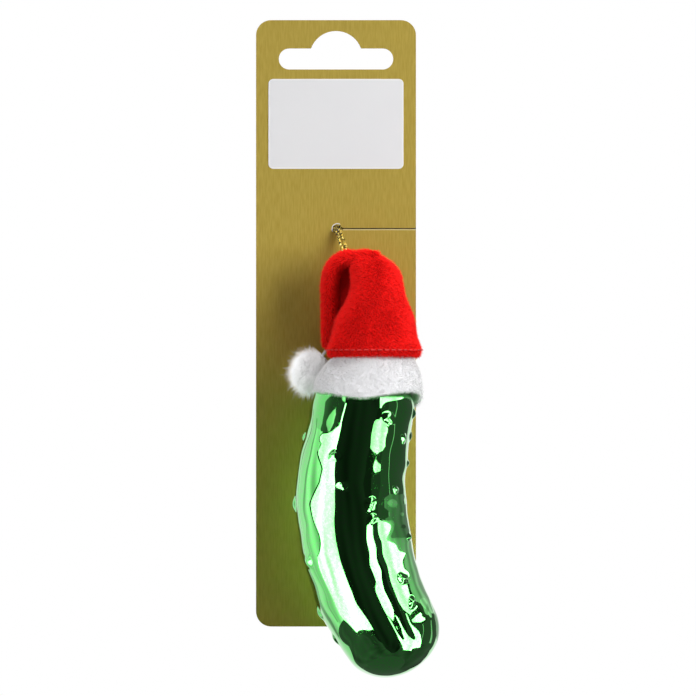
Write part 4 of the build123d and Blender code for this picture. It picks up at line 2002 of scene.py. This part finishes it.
@dataclass
class Studio:
    """Camera, soft lamps, panels that reflections alone show, pale floor and white surroundings."""

    frame_width: float = 198.9
    middle: tuple[float, float] = (3.43, -90.6)
    distance: float = 3000.0
    sensor: float = 36.0
    sight: float = 100000.0
    floor_height: float = -222.0
    floor_reach: float = 800.0
    floor_sides: int = 96
    floor_fade: tuple[float, float] = (0.25, 0.98)
    floor_tones: tuple[Colour, Colour] = ((0.86, 0.86, 0.86, 1), (0.9, 0.9, 0.9, 1))
    pit_height: float = -900.0
    pit_reach: float = 1200.0
    pit_sides: int = 64
    pit_bright: float = 0.1
    ambient: float = 0.22
    lamps: tuple[Lamp, ...] = (
        Lamp("key_right", "dull", 60, 17, (720, 850), 9.6),
        Lamp("fill_front", "soft", 0, 52, (1200, 1200), 3.6, away=2000.0),
        Lamp("fill_left", "soft", -55, -4, (900, 900), 4.4),
        Lamp("fill_top", "plush", 8, 64, (900, 900), 4.2),
        Lamp("spot_left", "shaded", -32, 8, (500, 500), 15.0),
        Lamp("fill_back", "board", 165, 20, (900, 900), 4.0),
    )
    screens: tuple[Panel, ...] = (
        Panel.screen("dark_front", 0.02, (40, -50), (-35, 42), 1150.0),
        Panel.screen("dark_gap", 0.06, (60, -50), (42, 70), 1500.0),
        Panel.screen("dark_right", 0.09, (60, -50), (62, 84), 1300.0),
        Panel.screen("dark_back", 0.09, (60, -50), (85.5, 146), 1300.0),
    )
    panels: tuple[Panel, ...] = (
        Panel("left_softbox", (4.6, 6.4), (
            (-98, -38, -36), (-103, -38.5, -36), (-105, -50, -36), (-106.5, -72, -37), (-109, -80, -38),
            (-114, -71, -38), (-119, -61, -37), (-126, -66, -36), (-134, -82, -36), (-140, -77, -37),
            (-152, -66, -38), (-157, -71, -37), (-161, -80, -36), (-170, -84, -33), (-180, -82, -29),
            (-190, -78, -19), (-193, -77, -17), (-198, -74, -26), (-203, -70, -42), (-207, -65, -53),
            (-209, -61, -58),
        )),
        Panel("left_rim", (0.04, 0.04), (
            (-105, -72, -40), (-109, -82, -40), (-114, -74, -40), (-119, -64, -40), (-126, -69, -40),
            (-134, -86, -40), (-140, -80, -40), (-152, -69, -40), (-157, -73, -40), (-161, -82, -40),
        ), 61.5),
        Panel("left_glow", (0.65, 1.6), ((-104, -150, -70), (-140, -140, -60), (-206, -125, -66)), 62.5),
        Panel("left_stand", (0.5, 0.9), ((-100, -101, -95), (-150, -102, -97), (-200, -98, -94)), 62.0),
        Panel("left_pole", (0.25, 0.25), ((-100, -123, -121.5), (-200, -117, -115.5)), 62.0),
        Panel("upper_shade", (0.16, 0.06), (
            (-66, -62, -48), (-84, -76, -48.5), (-88, -74.5, -48.5), (-90, -77, -48.5),
            (-92.5, -82, -48.5), (-95, -80, -46), (-97, -79, -40), (-100, -78, -37), (-104, -80, -36),
            (-105.5, -78, -36),
        ), 60.2),
        Panel("upper_leaf", (0.9, 1.4), (
            (-94.8, -60, -55), (-97, -67, -51), (-99, -70, -52), (-101, -68, -52), (-103, -64, -54),
            (-105, -61, -57),
        ), 59.6),
        Panel("upper_line", (1.4, 2.2), (
            (-66, -47, -38), (-80, -48, -39), (-90, -47, -40), (-95.5, -45, -40),
        ), 59.8),
        Panel("dark_middle", (0.02, 0.03), (
            (-60, -40, 34), (-100, -38.5, 33), (-112, -37.5, 25), (-125, -36, 20), (-137, -37, 20),
            (-150, -38, 16), (-160, -36, 12), (-168, -34, 14), (-180, -29, 20), (-192, -17, 24),
            (-205, -12, 30), (-216, -6, 34), (-228, 4, 30), (-240, 12, 22),
        ), 60.6),
        Panel("low_shade", (0.1, 0.07), (
            (-199, -62, 150), (-206, -95, 150), (-212, -112, 150), (-222, -125, 150), (-270, -145, 150),
        ), 61.0),
        Panel("upper_softbox", (3.8, 5.0), (
            (-70, 52, 76), (-76, 44, 92), (-82, 38, 107), (-87, 36, 104), (-89, 35.5, 94),
            (-91, 35, 74), (-94, 34.5, 55), (-97, 34, 47), (-101, 33.5, 41), (-106, 33, 36),
        )),
        Panel("middle_softbox", (5.0, 4.5), (
            (-112, 24, 28), (-115, 22.5, 42), (-119, 23, 56), (-122, 30, 58), (-125, 40, 52),
        )),
        Panel("first_strip", (5.4, 5.4), (
            (-138, 21, 26), (-141, 19, 33), (-147, 18, 31), (-152, 15.5, 28), (-156, 16.5, 27),
            (-160, 12, 29), (-163, 10.5, 30), (-167, 13, 27), (-171, 16, 22),
        )),
        Panel("second_strip", (5.4, 5.4), (
            (-136, 48, 62), (-138, 46, 92), (-139.5, 45, 104), (-141, 44.5, 84), (-147, 43, 74),
            (-150, 42.5, 84), (-152, 42, 84), (-154, 42, 76), (-156, 42.5, 64), (-158, 45, 56),
        )),
        Panel("low_strip_left", (5.4, 5.4), (
            (-172, 15.5, 18), (-178, 19, 23), (-184, 22, 28), (-190, 26, 34),
        )),
        Panel("low_strip_middle", (5.4, 5.4), (
            (-165, 30, 32), (-170, 30, 37), (-174, 31, 40), (-180, 34, 45), (-186, 37, 53),
            (-190, 34, 60),
        )),
        Panel("low_strip_right", (5.4, 5.4), (
            (-159, 46.5, 49), (-165, 50, 57), (-171, 52.5, 63), (-178, 56, 68), (-186, 60, 73),
            (-190, 58, 76),
        )),
        Panel("low_softbox", (5.4, 5.4), (
            (-190, 26, 76), (-199, 32, 82), (-207, 37, 87), (-210, 38.5, 74), (-213, 40, 67),
            (-222, 46, 69),
        )),
        Panel("right_glow", (0.9, 0.45), (
            (-134.5, 56, 84), (-138, 60, 125), (-140, 66, 140), (-144, 85, 145), (-148, 95, 145),
            (-151, 118, 145), (-154, 125, 145),
        ), 60.4),
        Panel("right_dusk", (0.3, 0.22), ((-131, 80, 110), (-133, 64, 145), (-141, 64, 145)), 60.5),
        Panel("right_rim", (0.05, 0.05), (
            (-139.5, 100, 107), (-141, 82, 92), (-147, 72, 82), (-150, 82, 89), (-152, 82, 90),
            (-154, 74, 86), (-156, 62, 80), (-158, 54, 76),
        ), 60.3),
        Panel("right_pale", (1.4, 0.9), (
            (-146, 102, 112), (-148, 100, 122), (-150, 100, 118), (-153, 102, 114), (-155, 106, 112),
        )),
        Panel("right_arc", (0.8, 0.4), (
            (-158, 100, 104), (-163, 98, 102), (-170, 97.5, 102), (-180, 99, 105), (-188, 102, 109),
            (-194, 106, 113),
        )),
        Panel("right_disc", (0.5, 0.8), (
            (-157, 128, 145), (-160, 123, 148), (-166, 121.5, 150), (-172, 122, 150), (-177, 127, 150),
            (-180.5, 134, 150),
        )),
    )

    def camera(self) -> None:
        """Long lens square to the card, its frame as wide as the photograph's."""
        camera = add_object("photo_camera", bpy.data.cameras.new("photo_camera"))
        camera.data.sensor_width = self.sensor
        camera.data.lens = self.sensor * self.distance / self.frame_width
        camera.data.clip_end = self.sight * MM
        camera.location = (self.middle[0] * MM, -self.distance * MM, self.middle[1] * MM)
        camera.rotation_euler = (math.pi / 2, 0, 0)
        bpy.context.scene.camera = camera

    def surroundings(self) -> None:
        """White for the camera and for reflections, and a plain soft level for everything else."""
        r = Recipe(bpy.data.worlds.new("studio"))
        rays = r.node("ShaderNodeLightPath").outputs
        seen = r.sums("MAXIMUM", rays["Is Camera Ray"], rays["Is Glossy Ray"])
        seen = r.sums("MAXIMUM", seen, rays["Is Transmission Ray"])
        r.set(Color=WHITE, Strength=r.spread(seen, self.ambient, 1.0))
        bpy.context.scene.world = r.owner

    def floor(self) -> None:
        """Pale round floor under the ornament that fades out at its rim."""
        mesh = bpy.data.meshes.new("floor")
        rim = disc(self.floor_reach, self.floor_height, self.floor_sides) * MM
        mesh.from_pydata(rim.tolist(), [], [list(range(len(rim)))])
        r = Recipe(bpy.data.materials.new("floor"))
        r.set(Base_Color=r.blended(r.noise(6.0), *self.floor_tones), Roughness=0.8)
        x, y, _ = r.axes("Object")
        away = r.sums("SQRT", r.sums("ADD", r.sums("POWER", x, 2.0), r.sums("POWER", y, 2.0)))
        start, stop = (share * self.floor_reach * MM for share in self.floor_fade)
        faded = r.node("ShaderNodeMapRange", Value=away, From_Min=start, From_Max=stop)
        r.set(Alpha=r.sums("SUBTRACT", 1.0, faded.outputs[0]))
        mesh.materials.append(r.owner)
        floor = add_object("floor", mesh)
        floor.visible_glossy = False

    def pit(self) -> None:
        """Dark ground far under the ornament that reflections alone show."""
        rim = disc(self.pit_reach, self.pit_height, self.pit_sides)
        glowing("pit", rim, [list(range(len(rim)))], np.full(len(rim), self.pit_bright))

    def build(self, glass: Piece, **groups: list[Piece]) -> None:
        """Everything round the object. The lamps light all but the glass; it mirrors the panels.

        Args:
            glass: the piece that mirrors the panels, and that no lamp lights.
            groups: soft, the pieces that the front and left lamps light; plush, the hat's, which a lamp
                above lights too; shaded, the pom-pom's, which a small lamp on the left picks out; board,
                the card, whose back has a lamp of its own.
        """
        self.camera()
        self.surroundings()
        self.floor()
        meshes = [piece for piece in bpy.context.scene.objects if piece.type == "MESH"]
        groups["dull"] = [piece for piece in meshes if piece != glass]
        for lamp in self.lamps:
            lamp.build(groups[lamp.group])
        for screen in self.screens:
            screen.build()
        self.pit()
        for panel in self.panels:
            light_only(panel.build(), [glass])
        bpy.context.scene.view_settings.view_transform = "Standard"


def main() -> None:
    """Builds the pieces in order."""
    logging.basicConfig(level=logging.INFO, format="%(name)s: %(message)s")
    soft = GoldCord().build()
    board, glass = [HangCard().build()], GlassPickle().build()
    plush, shaded = PlushHat().build(), Pompom().build()
    soft += plush + shaded + FleeceBand().build()
    soft += [NODES[name] for name in ("hem_stitches", "pompom_thread")]
    Studio().build(glass, soft=soft, plush=plush, shaded=shaded, board=board)


if __name__ == "__main__":
    main()
